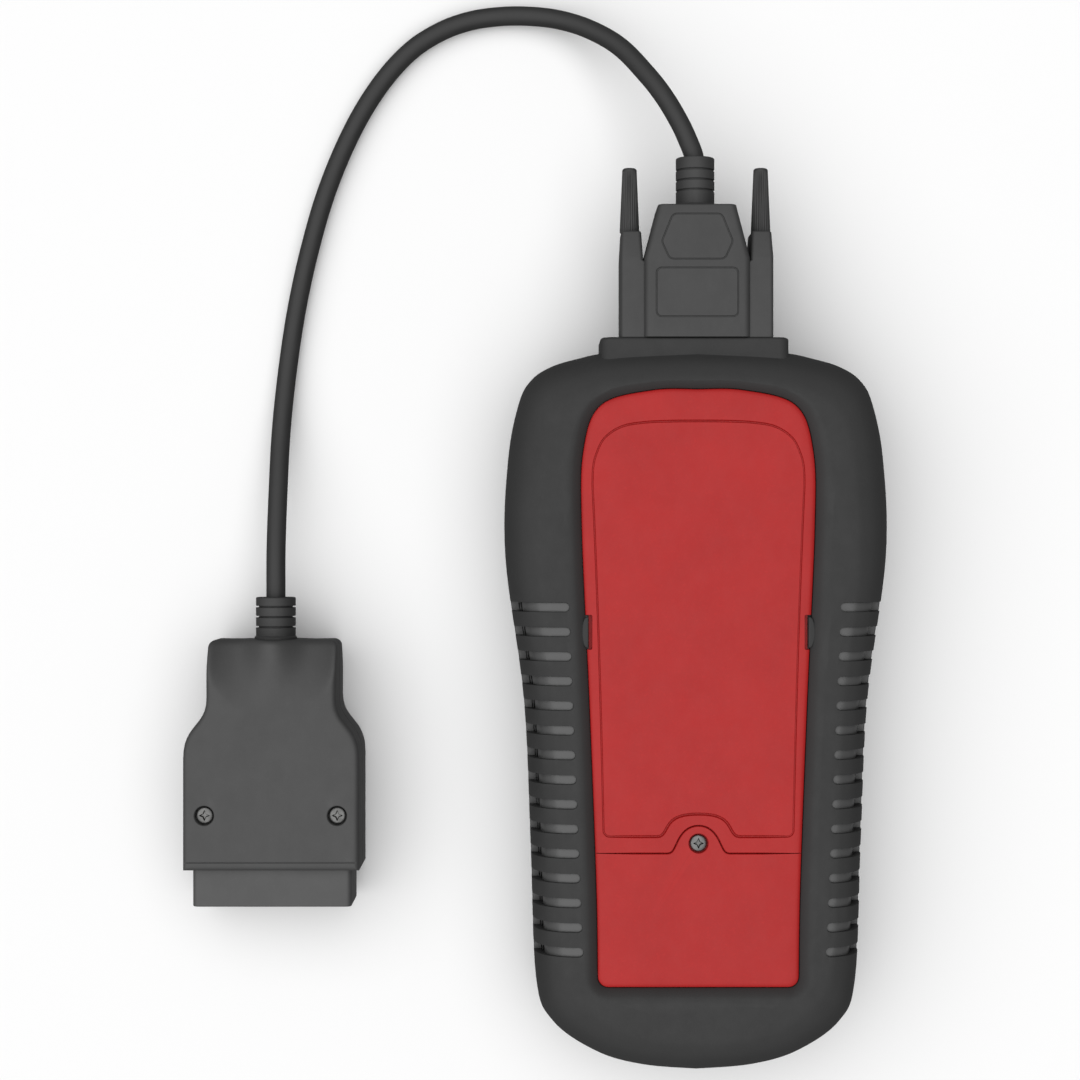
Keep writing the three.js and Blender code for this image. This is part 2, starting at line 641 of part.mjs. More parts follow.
function buildHood() {
  const body = new THREE.Path();
  body.moveTo(0, HOOD_FOOT);
  body.lineTo(HOOD.halfWidth, HOOD_FOOT);
  body.lineTo(HOOD.halfWidth, HOOD.shoulder);
  body.lineTo(HOOD.neckHalf, HOOD.head - 0.9);
  body.quadraticCurveTo(HOOD.neckHalf - 0.2, HOOD.head, HOOD.neckHalf - 1.1, HOOD.head);
  body.lineTo(0, HOOD.head);
  const ear = points([
    [12.9, HOOD_FOOT], [EAR.halfWidth, HOOD_FOOT], [EAR.halfWidth, 110], [EAR.halfWidth - 0.3, EAR.head],
    [14, EAR.head], [HOOD.halfWidth, 109.6], [12.9, 109],
  ]);
  let hood = plate(mirrored(body), PORT_Z - HOOD.halfThickness, PORT_Z + HOOD.halfThickness, 0.8);
  for (const side of [-1, 1]) {
    const solidEar = plate(ear, PORT_Z - EAR.halfThickness, PORT_Z + EAR.halfThickness, 0.6);
    hood = union(hood, side > 0 ? solidEar : solidEar.mirror([1, 0, 0]));
    hood = cut(hood, rodAlongY(SHAFT_RADIUS + GAP, side * JACK_SPACING / 2, PORT_Z, [90, 120]));
  }
  return cut(
    hood,
    plateAlongY(roundedRectangle(18.85, 6.2, 1.5, 0, PORT_Z), HOOD_FOOT - 1, 93.2),
    box([-12.2, 12.2], [93, 99.3], [PORT_Z - 3.9, PORT_Z + 3.9]),
    rodAlongY(3.6, 0, PORT_Z, [117, HOOD.head + 1]),
  );
}

// A strain relief: rings parted by grooves, on a stub that goes into its housing
function buildRelief(x, z, { foot, head, radius, grooves, depth, stubFoot }) {
  const profile = [[0, stubFoot], [RELIEF_STUB_RADIUS, stubFoot], [RELIEF_STUB_RADIUS, foot], [radius, foot]];
  for (const start of grooves) {
    const end = start + RELIEF_GROOVE;
    profile.push([radius, start], [radius - depth, start], [radius - depth, end], [radius, end]);
  }
  profile.push([radius, head - 0.5], [radius - 0.5, head], [0, head]);
  return turnedAlongY(profile, x, z, 14);
}

function buildThumbscrew(side) {
  const knobFoot = EAR.head + GAP;
  const profile = [
    [0, 87.2], [1, 87.2], [SHAFT_RADIUS, 87.7], [SHAFT_RADIUS, knobFoot], [2.5, knobFoot],
    [2.1, 128], [1.85, KNOB_HEAD - 0.4], [1.5, KNOB_HEAD], [0, KNOB_HEAD],
  ];
  return turnedAlongY(profile, side * JACK_SPACING / 2, PORT_Z, 12);
}

function buildPlugShells() {
  const inner = [PLUG_WALL, PLUG_THICKNESS - PLUG_WALL];
  const noseHalf = [NOSE.halfWidth + GAP, NOSE.halfHeight + GAP];
  let shell = cut(
    plate(plugOutline(), 0, PLUG_THICKNESS, 1.2),
    box([PLUG_X - 20.9, PLUG_X + 20.9], [PLUG_FOOT + PLUG_WALL, -15], inner),
    box([PLUG_X - 14.2, PLUG_X + 14.2], [-16, PLUG_HEAD - PLUG_WALL], inner),
    box(
      [PLUG_X - noseHalf[0], PLUG_X + noseHalf[0]],
      [PLUG_FOOT - 1, PLUG_FOOT + PLUG_WALL + 0.2],
      [PLUG_Z - noseHalf[1], PLUG_Z + noseHalf[1]],
    ),
    rodAlongY(RELIEF_STUB_RADIUS + GAP, PLUG_X, PLUG_Z, [12, PLUG_HEAD + 1]),
  );
  for (const x of [PLUG_X - PLUG_SCREWS.x, PLUG_X + PLUG_SCREWS.x]) {
    shell = union(shell, rod(3.3, x, PLUG_SCREWS.y, [1.5, PLUG_THICKNESS - 1.5]));
    shell = cut(
      shell,
      rod(2.45, x, PLUG_SCREWS.y, [PLUG_THICKNESS - 2.1, PLUG_THICKNESS + 1], 20),
      rod(1.6, x, PLUG_SCREWS.y, [3, PLUG_THICKNESS]),
    );
  }
  const everywhere = [[PLUG_X - FAR, PLUG_X + FAR], [-FAR, FAR]];
  return {
    upper: cut(shell, box(...everywhere, [-5, PLUG_Z + GAP / 2])),
    lower: cut(shell, box(...everywhere, [PLUG_Z - GAP / 2, 40])),
  };
}

// The nose's rectangular section, moved in or out
function noseOutline(grow) {
  return roundedRectangle(NOSE.halfWidth + grow, NOSE.halfHeight + grow, 1.2, PLUG_X, PLUG_Z);
}

function buildNose() {
  const tube = plateAlongY(noseOutline(0), NOSE.foot, NOSE.root);
  const flange = plateAlongY(noseOutline(NOSE.lip), -40.7, -38.9);
  return cut(union(tube, flange), plateAlongY(noseOutline(-NOSE.wall), NOSE.foot - 1, NOSE.root + 1));
}

function buildPinBlock() {
  const halfWidth = NOSE.halfWidth - NOSE.wall - 0.6;
  const halfHeight = NOSE.halfHeight - NOSE.wall - 0.6;
  const carrier = box(
    [PLUG_X - halfWidth, PLUG_X + halfWidth],
    [-38.5, NOSE.root - 0.5],
    [PLUG_Z - halfHeight, PLUG_Z + halfHeight],
  );
  const blades = [];
  for (const z of [PLUG_Z - BLADE.rowOffset, PLUG_Z + BLADE.rowOffset]) {
    for (let i = 0; i < BLADE.perRow; i += 1) {
      const x = PLUG_X + (i - (BLADE.perRow - 1) / 2) * BLADE.pitch;
      const zs = [z - BLADE.halfHeight, z + BLADE.halfHeight];
      blades.push(box([x - BLADE.halfWidth, x + BLADE.halfWidth], [BLADE.foot, -38], zs));
    }
  }
  return union(carrier, ...blades);
}

function buildCord() {
  const curve = new THREE.CatmullRomCurve3(CORD_ROUTE.map((point) => new THREE.Vector3(...point)));
  const section = new THREE.Shape();
  section.absarc(0, 0, CORD_RADIUS, 0, Math.PI * 2);
  const geometry = new THREE.ExtrudeGeometry(section, {
    steps: CORD_STEPS,
    curveSegments: 5,
    extrudePath: curve,
    bevelEnabled: false,
  });
  return solid(geometry);
}

place('handheld', 'rubber_boot', buildBoot(), rubber);
place('handheld', 'back_housing', buildBackHousing(), greyPlastic);
place('handheld', 'back_panel', buildPanel(), redPlastic);
place('handheld', 'battery_door', buildDoor(), redPlastic);
place('handheld', 'door_screw', crossHeadScrew(0, DOOR_SCREW.y, DOOR_SCREW), steel);
place('handheld', 'battery', buildBattery(), blackPlastic);
place('handheld', 'battery_snap', buildSnap(), blackPlastic);
for (const [name, [x, y]] of Object.entries(CASE_SCREWS)) {
  place('handheld', `case_screw_${name}`, crossHeadScrew(x, y, CASE_SCREW), steel);
}

place('front', 'front_housing', buildFrontHousing(), greyPlastic);
place('front', 'lcd_window', plate(screenOutline(2, 2.7), 3, 4.1), clearPlastic);
place('front', 'lcd_module', plate(screenOutline(1, 1), 5.4, 9.3), darkPlastic);
place('front', 'main_board', buildBoard(), boardGreen);
place('front', 'keypad_membrane', buildMembrane(), rubber);
for (const [name, [x, y]] of Object.entries(BOARD_SCREWS)) {
  place('front', `board_screw_${name}`, crossHeadScrew(x, y, BOARD_SCREW), steel);
}
for (const key of KEYS) {
  place('front', key.name, buildKey(key), paleKey);
}
const chipUnder = BOARD.under + BOARD.thickness + GAP;
place('front', 'processor_chip', box([-13, 1], [23, 37], [chipUnder, chipUnder + 1.6]), blackPlastic);
place('front', 'memory_chip', box([5, 15], [17, 23], [chipUnder, chipUnder + 1.4]), blackPlastic);
place('front', 'bus_transceiver_chip', box([-17, -7], [53, 57], [chipUnder, chipUnder + 1.6]), blackPlastic);
place('front', 'buzzer', rod(6, 18, 42, [chipUnder, chipUnder + 5.5], 20), blackPlastic);

const port = buildPort();
place('handheld', 'port_shell', port.shell, steel);
place('handheld', 'port_pins', port.insert, blackPlastic);
place('handheld', 'jack_nut_left', buildJackNut(-1), brass);
place('handheld', 'jack_nut_right', buildJackNut(1), brass);

const cablePlug = buildCablePlug();
place('cable', 'cable_plug_shell', cablePlug.shell, steel);
place('cable', 'cable_plug_sockets', cablePlug.insert, blackPlastic);
place('cable', 'cable_hood', buildHood(), greyPlastic);
place('cable', 'thumbscrew_left', buildThumbscrew(-1), darkPlastic);
place('cable', 'thumbscrew_right', buildThumbscrew(1), darkPlastic);
place('cable', 'hood_strain_relief', buildRelief(0, PORT_Z, HOOD_RELIEF), darkPlastic);
place('cable', 'cord', buildCord(), rubber);

const plugShells = buildPlugShells();
place('plug', 'plug_shell_upper', plugShells.upper, greyPlastic);
place('plug', 'plug_shell_lower', plugShells.lower, greyPlastic);
place('plug', 'plug_nose', buildNose(), greyPlastic);
place('plug', 'plug_pins', buildPinBlock(), brass);
place('plug', 'plug_strain_relief', buildRelief(PLUG_X, PLUG_Z, PLUG_RELIEF), darkPlastic);
for (const [name, side] of [['left', -1], ['right', 1]]) {
  const screw = crossHeadScrew(PLUG_X + side * PLUG_SCREWS.x, PLUG_SCREWS.y, PLUG_SCREW);
  place('plug', `plug_screw_${name}`, screw, steel);
}

export default reader;
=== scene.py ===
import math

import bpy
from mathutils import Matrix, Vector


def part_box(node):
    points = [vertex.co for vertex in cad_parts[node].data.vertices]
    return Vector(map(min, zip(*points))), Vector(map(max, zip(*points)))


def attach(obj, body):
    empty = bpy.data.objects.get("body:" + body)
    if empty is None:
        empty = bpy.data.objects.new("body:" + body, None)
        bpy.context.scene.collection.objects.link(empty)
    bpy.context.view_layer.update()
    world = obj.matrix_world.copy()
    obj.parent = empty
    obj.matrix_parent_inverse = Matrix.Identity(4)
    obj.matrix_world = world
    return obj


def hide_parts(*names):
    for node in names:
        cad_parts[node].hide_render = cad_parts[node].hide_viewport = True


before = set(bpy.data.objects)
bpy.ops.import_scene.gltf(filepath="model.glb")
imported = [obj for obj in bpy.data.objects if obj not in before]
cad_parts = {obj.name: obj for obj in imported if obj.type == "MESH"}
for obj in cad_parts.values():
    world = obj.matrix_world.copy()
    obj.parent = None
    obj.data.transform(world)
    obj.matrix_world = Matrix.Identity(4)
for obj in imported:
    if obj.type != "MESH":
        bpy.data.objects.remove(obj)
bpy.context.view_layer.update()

# Looks for a handheld vehicle code reader, lying on its front beside its vehicle cable.
# Shapes are worked out in millimetres, in the frame's axes, and placed in metres as each mesh is made.

MM = 0.001

# The handheld is drawn from a line across it, and this height on it is moved onto the origin
MIDDLE_Y = -1.2

# Camera, light and floor
CAMERA_PLACE = (-39.4, 40.2, 600)
LENS = 76
SKY_STRENGTH = 0.22
SUN_SPREAD = 108
SUN_STRENGTH = 3.08
SUN_DIRECTION = (0.2, 0.07, -1)
FLOOR_HALF = 3000
FLOOR_Z = -0.1

# Case: half widths at heights along the handheld, from the foot to the head
CASE_SIDE = [
    (13.6, -92.4), (25.3, -89.1), (36.3, -81.5), (40.5, -70.5), (41.9, -36), (43.6, 0), (48.3, 36),
    (47.6, 60.5), (44.8, 75), (41.6, 80.8), (36.8, 84), (30.6, 85.95), (21, 87.8),
]
CASE_HEAD = 88.8
CASE_FOOT = -93.5
CASE_TOP = 34.59
SPLIT_Z = 18
BOOT_WALL = 3
HOUSING_WALL = 2.2
GAP = 0.3
FACE_Z = 2.9
BOOT_PROFILE = [
    (0, 5.2), (1.2, 2.8), (4.5, 0.9), (12, 0), (22, 0), (27.6, 1.2), (31.4, 3.8), (33.6, 7.4),
    (34.3, 10.2), (CASE_TOP, 14.5),
]
HOUSING_PROFILE = [(2.6, 2.6), (6.5, 0), (24.5, 0), (28.6, 2.2), (31, 6.6)]
RIB_PROFILE = [(27.4, 3.1), (30.4, 4.3), (32.6, 6.9), (33.6, 9.5), (34.1, 14.6)]
LEDGE_TOP = 21.6
KEY_FLANGE = 0.9
FACE_INSET = 9.4
BATTERY_ENDS = (-24.7, 21.3)

# Back panel and battery door
PANEL_SIDE = [(25.4, -45), (27.1, 0), (29, 43), (28.6, 62.5), (24.2, 73.8), (11.3, 77.5)]
PANEL_HEAD = 77.75
PANEL_FOOT = -71.1
PANEL_FOOT_HALF = 25
PANEL_CORNER = 2.6
PANEL_UNDER = 31
PANEL_TOP = 33.6
PANEL_PROFILE = [(PANEL_UNDER, 0), (32.4, 0), (32.9, 0.35), (33.25, 1.5), (33.45, 5), (PANEL_TOP, 11)]
DOOR_SPLIT = -37.8
DOOR_SCREW_Y = -35.2
TAB_FOOT = (7.7, DOOR_SPLIT)
TAB_SHOULDER = (5.4, -35.4)
TAB_HEAD = (0, -30.9)
SEAM = 0.22
REBATE_Z = 32.2
CLIP_STEP_Z = 31.5
CLIP_Y = 17.25
CLIP_HALF = 4.05
CLIP_INNER = 27.35

# Grip slots
SLOT_COUNT = 15
SLOT_TOP_Y = 23.5
SLOT_PITCH = 6.12
SLOT_HALF = 1.2
SLOT_FLOOR = 11
SLOT_INNER_ENDS = (35.2, 32)
SLOT_DRIFT = (3.7, 3.4)
SLOT_REACH = 60
FIT = 0.06

# Port, hood and thumbscrews
PORT_Z = 20.5
PORT_CUT = ((-19, 19), (80, 90))
JACK_X = 16.66
COLLAR_HALF = (23.7, 9.75)
COLLAR_PLACE = (-0.6, 19.25)
COLLAR_HEAD = 91.1
HOOD_FOOT = 91.15
HOOD_HALF = (13.3, 9)
HOOD_NECK_HALF = 9.9
EAR_HEAD = 118
HOOD_HEAD = 124.4
RELIEF_HEAD = 137.1
RELIEF_GROOVES = (128.5, 131.1, 133.7)
KNOB_HEAD = 134.6

SIDES = (("left", -1), ("right", 1))

# Vehicle plug
PLUG_X = -107.5
PLUG_Z = 12
PLUG_TOP = 24
PLUG_HEAD = 14.7
PLUG_FOOT = -43.5
PLUG_HALF = 22.3
PLUG_NECK_HALF = 16.4
PLUG_LINE_Y = (-41.5, -41.2)
SCOOP_X = 10
SCOOP_LENGTH = 20
SCOOP_DEPTH = 6.6
PLUG_SCREW_X = 16.8
PLUG_SCREW_Y = -29.5
NOSE_FOOT = -53
NOSE_HALF = (20.2, 8.9)
PLUG_RELIEF_HEAD = 25.5
PLUG_RELIEF_GROOVES = (17.65, 20.25, 22.85)

CORD_RADIUS = 2.5
CORD_SKIN = 0.02
CORD_ROUTE = [
    (0, 134.5, 20.5), (-0.1, 136.5, 20.5), (-0.45, 138.3, 20.5), (-1.4, 140.8, 20.5), (-3.7, 146, 20.1),
    (-7.6, 153, 18.7), (-11.8, 159, 16.6), (-18.8, 167.3, 12.3), (-26.4, 172.6, 8.5), (-34.2, 175.8, 5.4),
    (-42, 177.2, 3.5), (-50, 177.3, 2.7), (-58, 176.1, 2.6), (-65.6, 173.3, 2.6),
    (-73.4, 168.2, 2.6), (-81.3, 159.4, 2.6), (-88.5, 147.5, 2.6), (-95.1, 132, 2.6),
    (-99.8, 116, 2.6), (-103.2, 100.3, 2.6), (-105.5, 84.8, 2.8), (-106.9, 69, 5),
    (-107.3, 53.2, 8.8), (-107.5, 37.6, 11.7), (-107.5, 25.8, 12), (-107.5, 22.5, 12),
]


# ---------- camera and light ----------

def new_object(name, data):
    """Makes an object and puts it in the scene."""
    made = bpy.data.objects.new(name, data)
    bpy.context.scene.collection.objects.link(made)
    return made


def make_camera():
    """Straight above the floor, between the handheld and its plug."""
    data = bpy.data.cameras.new("camera")
    data.lens = LENS
    camera = new_object("camera", data)
    camera.location = placed(CAMERA_PLACE)
    bpy.context.scene.camera = camera


def make_light():
    """A dim white dome, and one very broad soft light from overhead and a little to the lower left."""
    world = bpy.data.worlds.new("studio")
    world.use_nodes = True
    sky = world.node_tree.nodes["Background"]
    sky.inputs["Color"].default_value = (1, 1, 1, 1)
    sky.inputs["Strength"].default_value = SKY_STRENGTH
    bpy.context.scene.world = world
    broad = bpy.data.lights.new("soft_light", "SUN")
    broad.angle = math.radians(SUN_SPREAD)
    broad.energy = SUN_STRENGTH
    light = new_object("soft_light", broad)
    light.rotation_euler = Vector(SUN_DIRECTION).to_track_quat("-Z", "Y").to_euler()
    bpy.context.scene.view_settings.view_transform = "Standard"


# ---------- outlines, as lists of (x, y) ----------

def catmull_rom(a, b, c, d, t):
    """One coordinate of a smooth curve, at a share t of the way from b to c."""
    v0 = (c - a) / 2
    v1 = (d - b) / 2
    return (2 * b - 2 * c + v0 + v1) * t**3 + (3 * c - 3 * b - 2 * v0 - v1) * t**2 + v0 * t + b


def spline(knots, steps):
    """Points on the curve through the knots, with this many steps from one knot to the next."""
    last = len(knots) - 1
    path = []
    for i in range(last):
        four = [knots[max(i - 1, 0)], knots[i], knots[i + 1], knots[min(i + 2, last)]]
        for step in range(steps):
            path.append(tuple(catmull_rom(*values, step / steps) for values in zip(*four)))
    return path + [tuple(knots[last])]


def bezier(a, b, c, d, steps=8):
    """Points on a cubic curve from a to d."""
    path = []
    for step in range(steps + 1):
        t = step / steps
        s = 1 - t
        weights = (s**3, 3 * s * s * t, 3 * s * t * t, t**3)
        path.append(tuple(sum(w * p[k] for w, p in zip(weights, (a, b, c, d))) for k in (0, 1)))
    return path


def sweep(start, end, steps):
    """Angles in radians, between two angles in degrees."""
    return [math.radians(start + (end - start) * step / steps) for step in range(steps + 1)]


def quarter_turn(steps):
    return sweep(0, 90, steps)


def arc(centre, radius, start, end, steps=6):
    """Points on a circle, between two angles in degrees."""
    x, y = centre
    return [(x + radius * math.cos(a), y + radius * math.sin(a)) for a in sweep(start, end, steps)]


def mirrored(path):
    """Closes a right-hand edge, drawn from the foot to the head, with its mirror image."""
    right = [p for i, p in enumerate(path) if i == 0 or math.dist(p, path[i - 1]) > 0.02]
    left = [(-x, y) for x, y in reversed(right) if x > 0.01]
    return right + left


def on_side(side, outline):
    """The outline as it is drawn for side 1, or its mirror image for side -1."""
    return outline if side > 0 else [(-x, y) for x, y in reversed(outline)]


def rounded(corners, radius, steps=6):
    """A polygon, anticlockwise, with its corners rounded."""
    outline = []
    for i, corner in enumerate(corners):
        here = Vector(corner)
        back = (Vector(corners[i - 1]) - here).normalized()
        ahead = (Vector(corners[(i + 1) % len(corners)]) - here).normalized()
        half = back.angle(ahead) / 2
        tangent = radius / math.tan(half)
        centre = here + (back + ahead).normalized() * radius / math.sin(half)
        start = here + back * tangent - centre
        end = here + ahead * tangent - centre
        turn = math.atan2(start.x * end.y - start.y * end.x, start.dot(end))
        for step in range(steps + 1):
            angle = math.atan2(start.y, start.x) + turn * step / steps
            outline.append((centre.x + radius * math.cos(angle), centre.y + radius * math.sin(angle)))
    return outline


def around(middle, half):
    return middle - half, middle + half


def oblong(xs, ys):
    """The corners of a square-cornered rectangle, from its two ranges."""
    return [(xs[0], ys[0]), (xs[1], ys[0]), (xs[1], ys[1]), (xs[0], ys[1])]


def rectangle(half_width, half_height, radius, x=0, y=0, steps=6):
    return rounded(oblong(around(x, half_width), around(y, half_height)), radius, steps)


def circle(radius, x, y, steps=40):
    return arc((x, y), radius, 0, 360, steps)[:-1]


def grown(outline, distance):
    """The outline moved outwards by a distance, or inwards by a negative one."""
    count = len(outline)
    moved = []
    for i, (x, y) in enumerate(outline):
        back = Vector((x - outline[i - 1][0], y - outline[i - 1][1])).normalized()
        ahead = Vector((outline[(i + 1) % count][0] - x, outline[(i + 1) % count][1] - y)).normalized()
        normal = Vector((back.y + ahead.y, -back.x - ahead.x)).normalized()
        reach = distance / max(normal.dot(Vector((ahead.y, -ahead.x))), 0.5)
        moved.append((x + normal.x * reach, y + normal.y * reach))
    return moved


def shrunk(outline, inset):
    """The outline scaled about its middle, until its sides have moved in by the inset."""
    lows = [min(p[k] for p in outline) for k in (0, 1)]
    highs = [max(p[k] for p in outline) for k in (0, 1)]
    middle = [(low + high) / 2 for low, high in zip(lows, highs)]
    scales = [1 - inset / (high - m) for high, m in zip(highs, middle)]
    return [tuple(m + (c - m) * s for c, m, s in zip(p, middle, scales)) for p in outline]


def case_outline():
    """The handheld's outline, fitted to the frame's own width."""
    path = mirrored(spline([(0, CASE_FOOT), *CASE_SIDE, (0, CASE_HEAD)], 8))
    widest = max(x for x, _ in path)
    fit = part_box("rubber_boot")[1].x / MM / widest
    return [(x * fit, y) for x, y in path]


def panel_outline():
    """The back panel and the battery door together."""
    corner_middle = (PANEL_FOOT_HALF - PANEL_CORNER, PANEL_FOOT + PANEL_CORNER)
    corner = arc(corner_middle, PANEL_CORNER, -90, 0)
    edge = spline([corner[-1], *PANEL_SIDE, (0, PANEL_HEAD)], 10)
    return mirrored([(0, PANEL_FOOT), *corner, *edge])


def door_outline():
    """The door's region: everything below the seam, with an arched tab round its screw."""
    tab = bezier(TAB_FOOT, (6.2, DOOR_SPLIT), (5.9, -36.2), TAB_SHOULDER, 6)
    arch = bezier(TAB_SHOULDER, (4.2, -32.4), (2.4, -30.9), TAB_HEAD, 8)
    below = PANEL_FOOT - 5
    return mirrored([(0, below), (40, below), (40, DOOR_SPLIT), *tab, *arch])


def contour_outline():
    """The thin line round the panel, rising in an arch over the door's tab."""
    arch = bezier((0, -27.9), (4, -27.9), (6.4, -28.6), (7.7, -31))
    foot = bezier((7.7, -31), (8.6, -32.7), (9, -33.5), (10.3, -33.5), 5)
    corner = arc((22.1, -32), 1.5, -90, 0)
    side = spline([(23.6, -32), (24.2, -6), (24.9, 18), (25.8, 42), (26.35, 54)], 6)
    shoulder = [(26.2, 58), (25.5, 61.3), (23.4, 65.5), (19.1, 68.4), (13.3, 69.45)]
    head = spline([side[-1], *shoulder, (6.5, 69.75), (0, 69.8)], 8)
    return mirrored([*arch, *foot, *corner, *side, *head])


def dense(path, spacing):
    """The same path with long straight stretches divided."""
    out = [path[0]]
    for a, b in zip(path, path[1:]):
        parts = max(1, math.ceil(math.dist(a, b) / spacing))
        out += [tuple(a[k] + (b[k] - a[k]) * n / parts for k in (0, 1)) for n in range(1, parts + 1)]
    return out


def plug_outline():
    """The plug's shell from above: a wide foot, curved shoulders and a narrower neck."""
    shoulder_foot = (PLUG_HALF, -15)
    shoulder = bezier(shoulder_foot, (PLUG_HALF, -6.5), (PLUG_NECK_HALF, -7), (PLUG_NECK_HALF, 0), 12)
    corner = arc((PLUG_NECK_HALF - 1.8, PLUG_HEAD - 1.8), 1.8, 0, 90)
    lower = dense([(0, PLUG_FOOT), (PLUG_HALF, PLUG_FOOT), shoulder_foot], 2.2)
    upper = dense([*shoulder, *corner, (0, PLUG_HEAD)], 0.9)
    return [(x + PLUG_X, y) for x, y in mirrored(lower + upper)]


# ---------- meshes ----------

def placed(point):
    """A drawn point, in millimetres, at its place in the frame."""
    return Vector((point[0] * MM, (point[1] - MIDDLE_Y) * MM, point[2] * MM))


def drawn(place):
    """A place in the frame as a drawn point."""
    return Vector((place[0] / MM, place[1] / MM + MIDDLE_Y, place[2] / MM))


def node_box(node):
    return [drawn(corner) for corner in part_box(node)]


def node_place(node):
    """The middle of a node's box, and its half size."""
    low, high = node_box(node)
    return [(a + b) / 2 for a, b in zip(low, high)], [(b - a) / 2 for a, b in zip(low, high)]


def new_mesh(name, vertices, faces):
    mesh = bpy.data.meshes.new(name)
    mesh.from_pydata([placed(v) for v in vertices], [], faces)
    mesh.update()
    return new_object(name, mesh)


def band(here, there, count):
    """The faces between two rings of this many points, from the numbers of their first points."""
    return [[here + i, here + (i + 1) % count, there + (i + 1) % count, there + i] for i in range(count)]


def skin(name, rings):
    """A closed body through a stack of rings that hold the same number of points."""
    count = len(rings[0])
    vertices = [point for ring in rings for point in ring]
    faces = [list(range(count))[::-1]]
    for level in range(len(rings) - 1):
        faces += band(level * count, (level + 1) * count, count)
    faces.append([(len(rings) - 1) * count + i for i in range(count)])
    return new_mesh(name, vertices, faces)


def standing(outline, height):
    return [(x, y, height) for x, y in outline]


def lying(outline, y):
    """An outline drawn in x and z, placed across the Y axis."""
    return [(x, y, z) for x, z in reversed(outline)]


def prism(name, outline, under, top):
    return skin(name, [standing(outline, under), standing(outline, top)])


def cylinder(name, radius, x, y, under, top, steps=32):
    return prism(name, circle(radius, x, y, steps), under, top)


def flared(name, outline, levels):
    """A body of levels, each a height and how far the outline has grown by then."""
    return skin(name, [standing(grown(outline, grow), z) for z, grow in levels])


def domed(name, outline, levels):
    """A body of levels, each a height and how far the outline has shrunk towards its middle."""
    return skin(name, [standing(shrunk(outline, inset), z) for z, inset in levels])


def rim(edge, radius, rises, steps):
    """Levels of a rounded rim: it shrinks as it rises to its edge, or grows as it leaves it."""
    levels = []
    for turn in quarter_turn(steps):
        levels.append((edge - rises * radius * (1 - math.sin(turn)), -radius * (1 - math.cos(turn))))
    return levels if rises > 0 else levels[::-1]


def rims(low, high, radius, steps):
    """Levels of a body from low to high with both of its rims rounded."""
    return rim(low, radius, -1, steps) + rim(high, radius, 1, steps)


def pillow(name, outline, under, top, radius, steps):
    """A plate with both of its rims rounded."""
    return flared(name, outline, rims(under, top, radius, steps))


def pillow_along_y(name, outline, foot, head, radius, steps):
    """The same along Y. Its outline is in x and z."""
    return skin(name, [lying(grown(outline, grow), y) for y, grow in rims(foot, head, radius, steps)])


def pillow_along_x(name, outline, start, end, radius, steps):
    """The same along X. Its outline is in y and z."""
    levels = rims(start, end, radius, steps)
    return skin(name, [[(x, y, z) for y, z in grown(outline, grow)] for x, grow in levels])


def box(name, xs, ys, zs):
    return prism(name, oblong(xs, ys), *zs)


def turned(name, profile, axis, origin, segments, flute=None):
    """A turned body of (radius, height) pairs. A flute is its foot, its head, a count and a depth."""
    rings = []
    for radius, height in profile:
        ring = []
        for i in range(segments):
            angle = 2 * math.pi * i / segments
            reach = radius
            if flute and flute[0] <= height <= flute[1]:
                reach -= flute[3] * (0.5 - 0.5 * math.cos(flute[2] * angle))
            across = reach * math.cos(angle)
            up = reach * math.sin(angle)
            if axis == "Z":
                ring.append((origin[0] + across, origin[1] + up, height))
            elif axis == "X":
                ring.append((height, origin[0] + across, origin[1] + up))
            else:
                ring.append((origin[0] - across, height, origin[1] + up))
        rings.append(ring)
    return skin(name, rings)


def channel(name, outline, levels):
    """A ring-shaped cutter that follows an outline: levels are heights and half widths."""
    count = len(outline)
    loops = []
    for z, half in levels:
        loops.append(standing(grown(outline, half), z))
        loops.append(standing(grown(outline, -half), z))
    vertices = [point for loop in loops for point in loop]
    order = [2 * i for i in range(len(levels))] + [2 * i + 1 for i in reversed(range(len(levels)))]
    faces = []
    for here, there in zip(order, order[1:] + order[:1]):
        faces += band(here * count, there * count, count)
    return new_mesh(name, vertices, faces)


def settle(piece):
    """Applies the piece's modifiers to its mesh."""
    graph = bpy.context.evaluated_depsgraph_get()
    mesh = bpy.data.meshes.new_from_object(piece.evaluated_get(graph))
    piece.modifiers.clear()
    piece.data = mesh


def together(name, pieces):
    """Joins separate bodies into one mesh."""
    vertices = []
    faces = []
    for piece in pieces:
        start = len(vertices)
        vertices += [drawn(v.co) for v in piece.data.vertices]
        faces += [[start + i for i in face.vertices] for face in piece.data.polygons]
        bpy.data.objects.remove(piece)
    return new_mesh(name, vertices, faces)


def combine(piece, operation, *others):
    """Unites other bodies with the piece, or cuts them out of it, and leaves only the piece."""
    for other in others:
        modifier = piece.modifiers.new("combine", "BOOLEAN")
        modifier.operation = operation
        modifier.solver = "MANIFOLD"
        modifier.object = other
    settle(piece)
    for other in others:
        bpy.data.objects.remove(other)
    return piece


def cut(piece, *others):
    return combine(piece, "DIFFERENCE", *others)


def unite(piece, *others):
    return combine(piece, "UNION", *others)


def soften(piece, width, angle):
    """Rounds the edges that turn by more than an angle."""
    weld = piece.modifiers.new("weld", "WELD")
    weld.merge_threshold = width * 0.4 * MM
    bevel = piece.modifiers.new("bevel", "BEVEL")
    bevel.width = width * MM
    bevel.segments = 2
    bevel.limit_method = "ANGLE"
    bevel.angle_limit = math.radians(angle)
    settle(piece)
    return piece


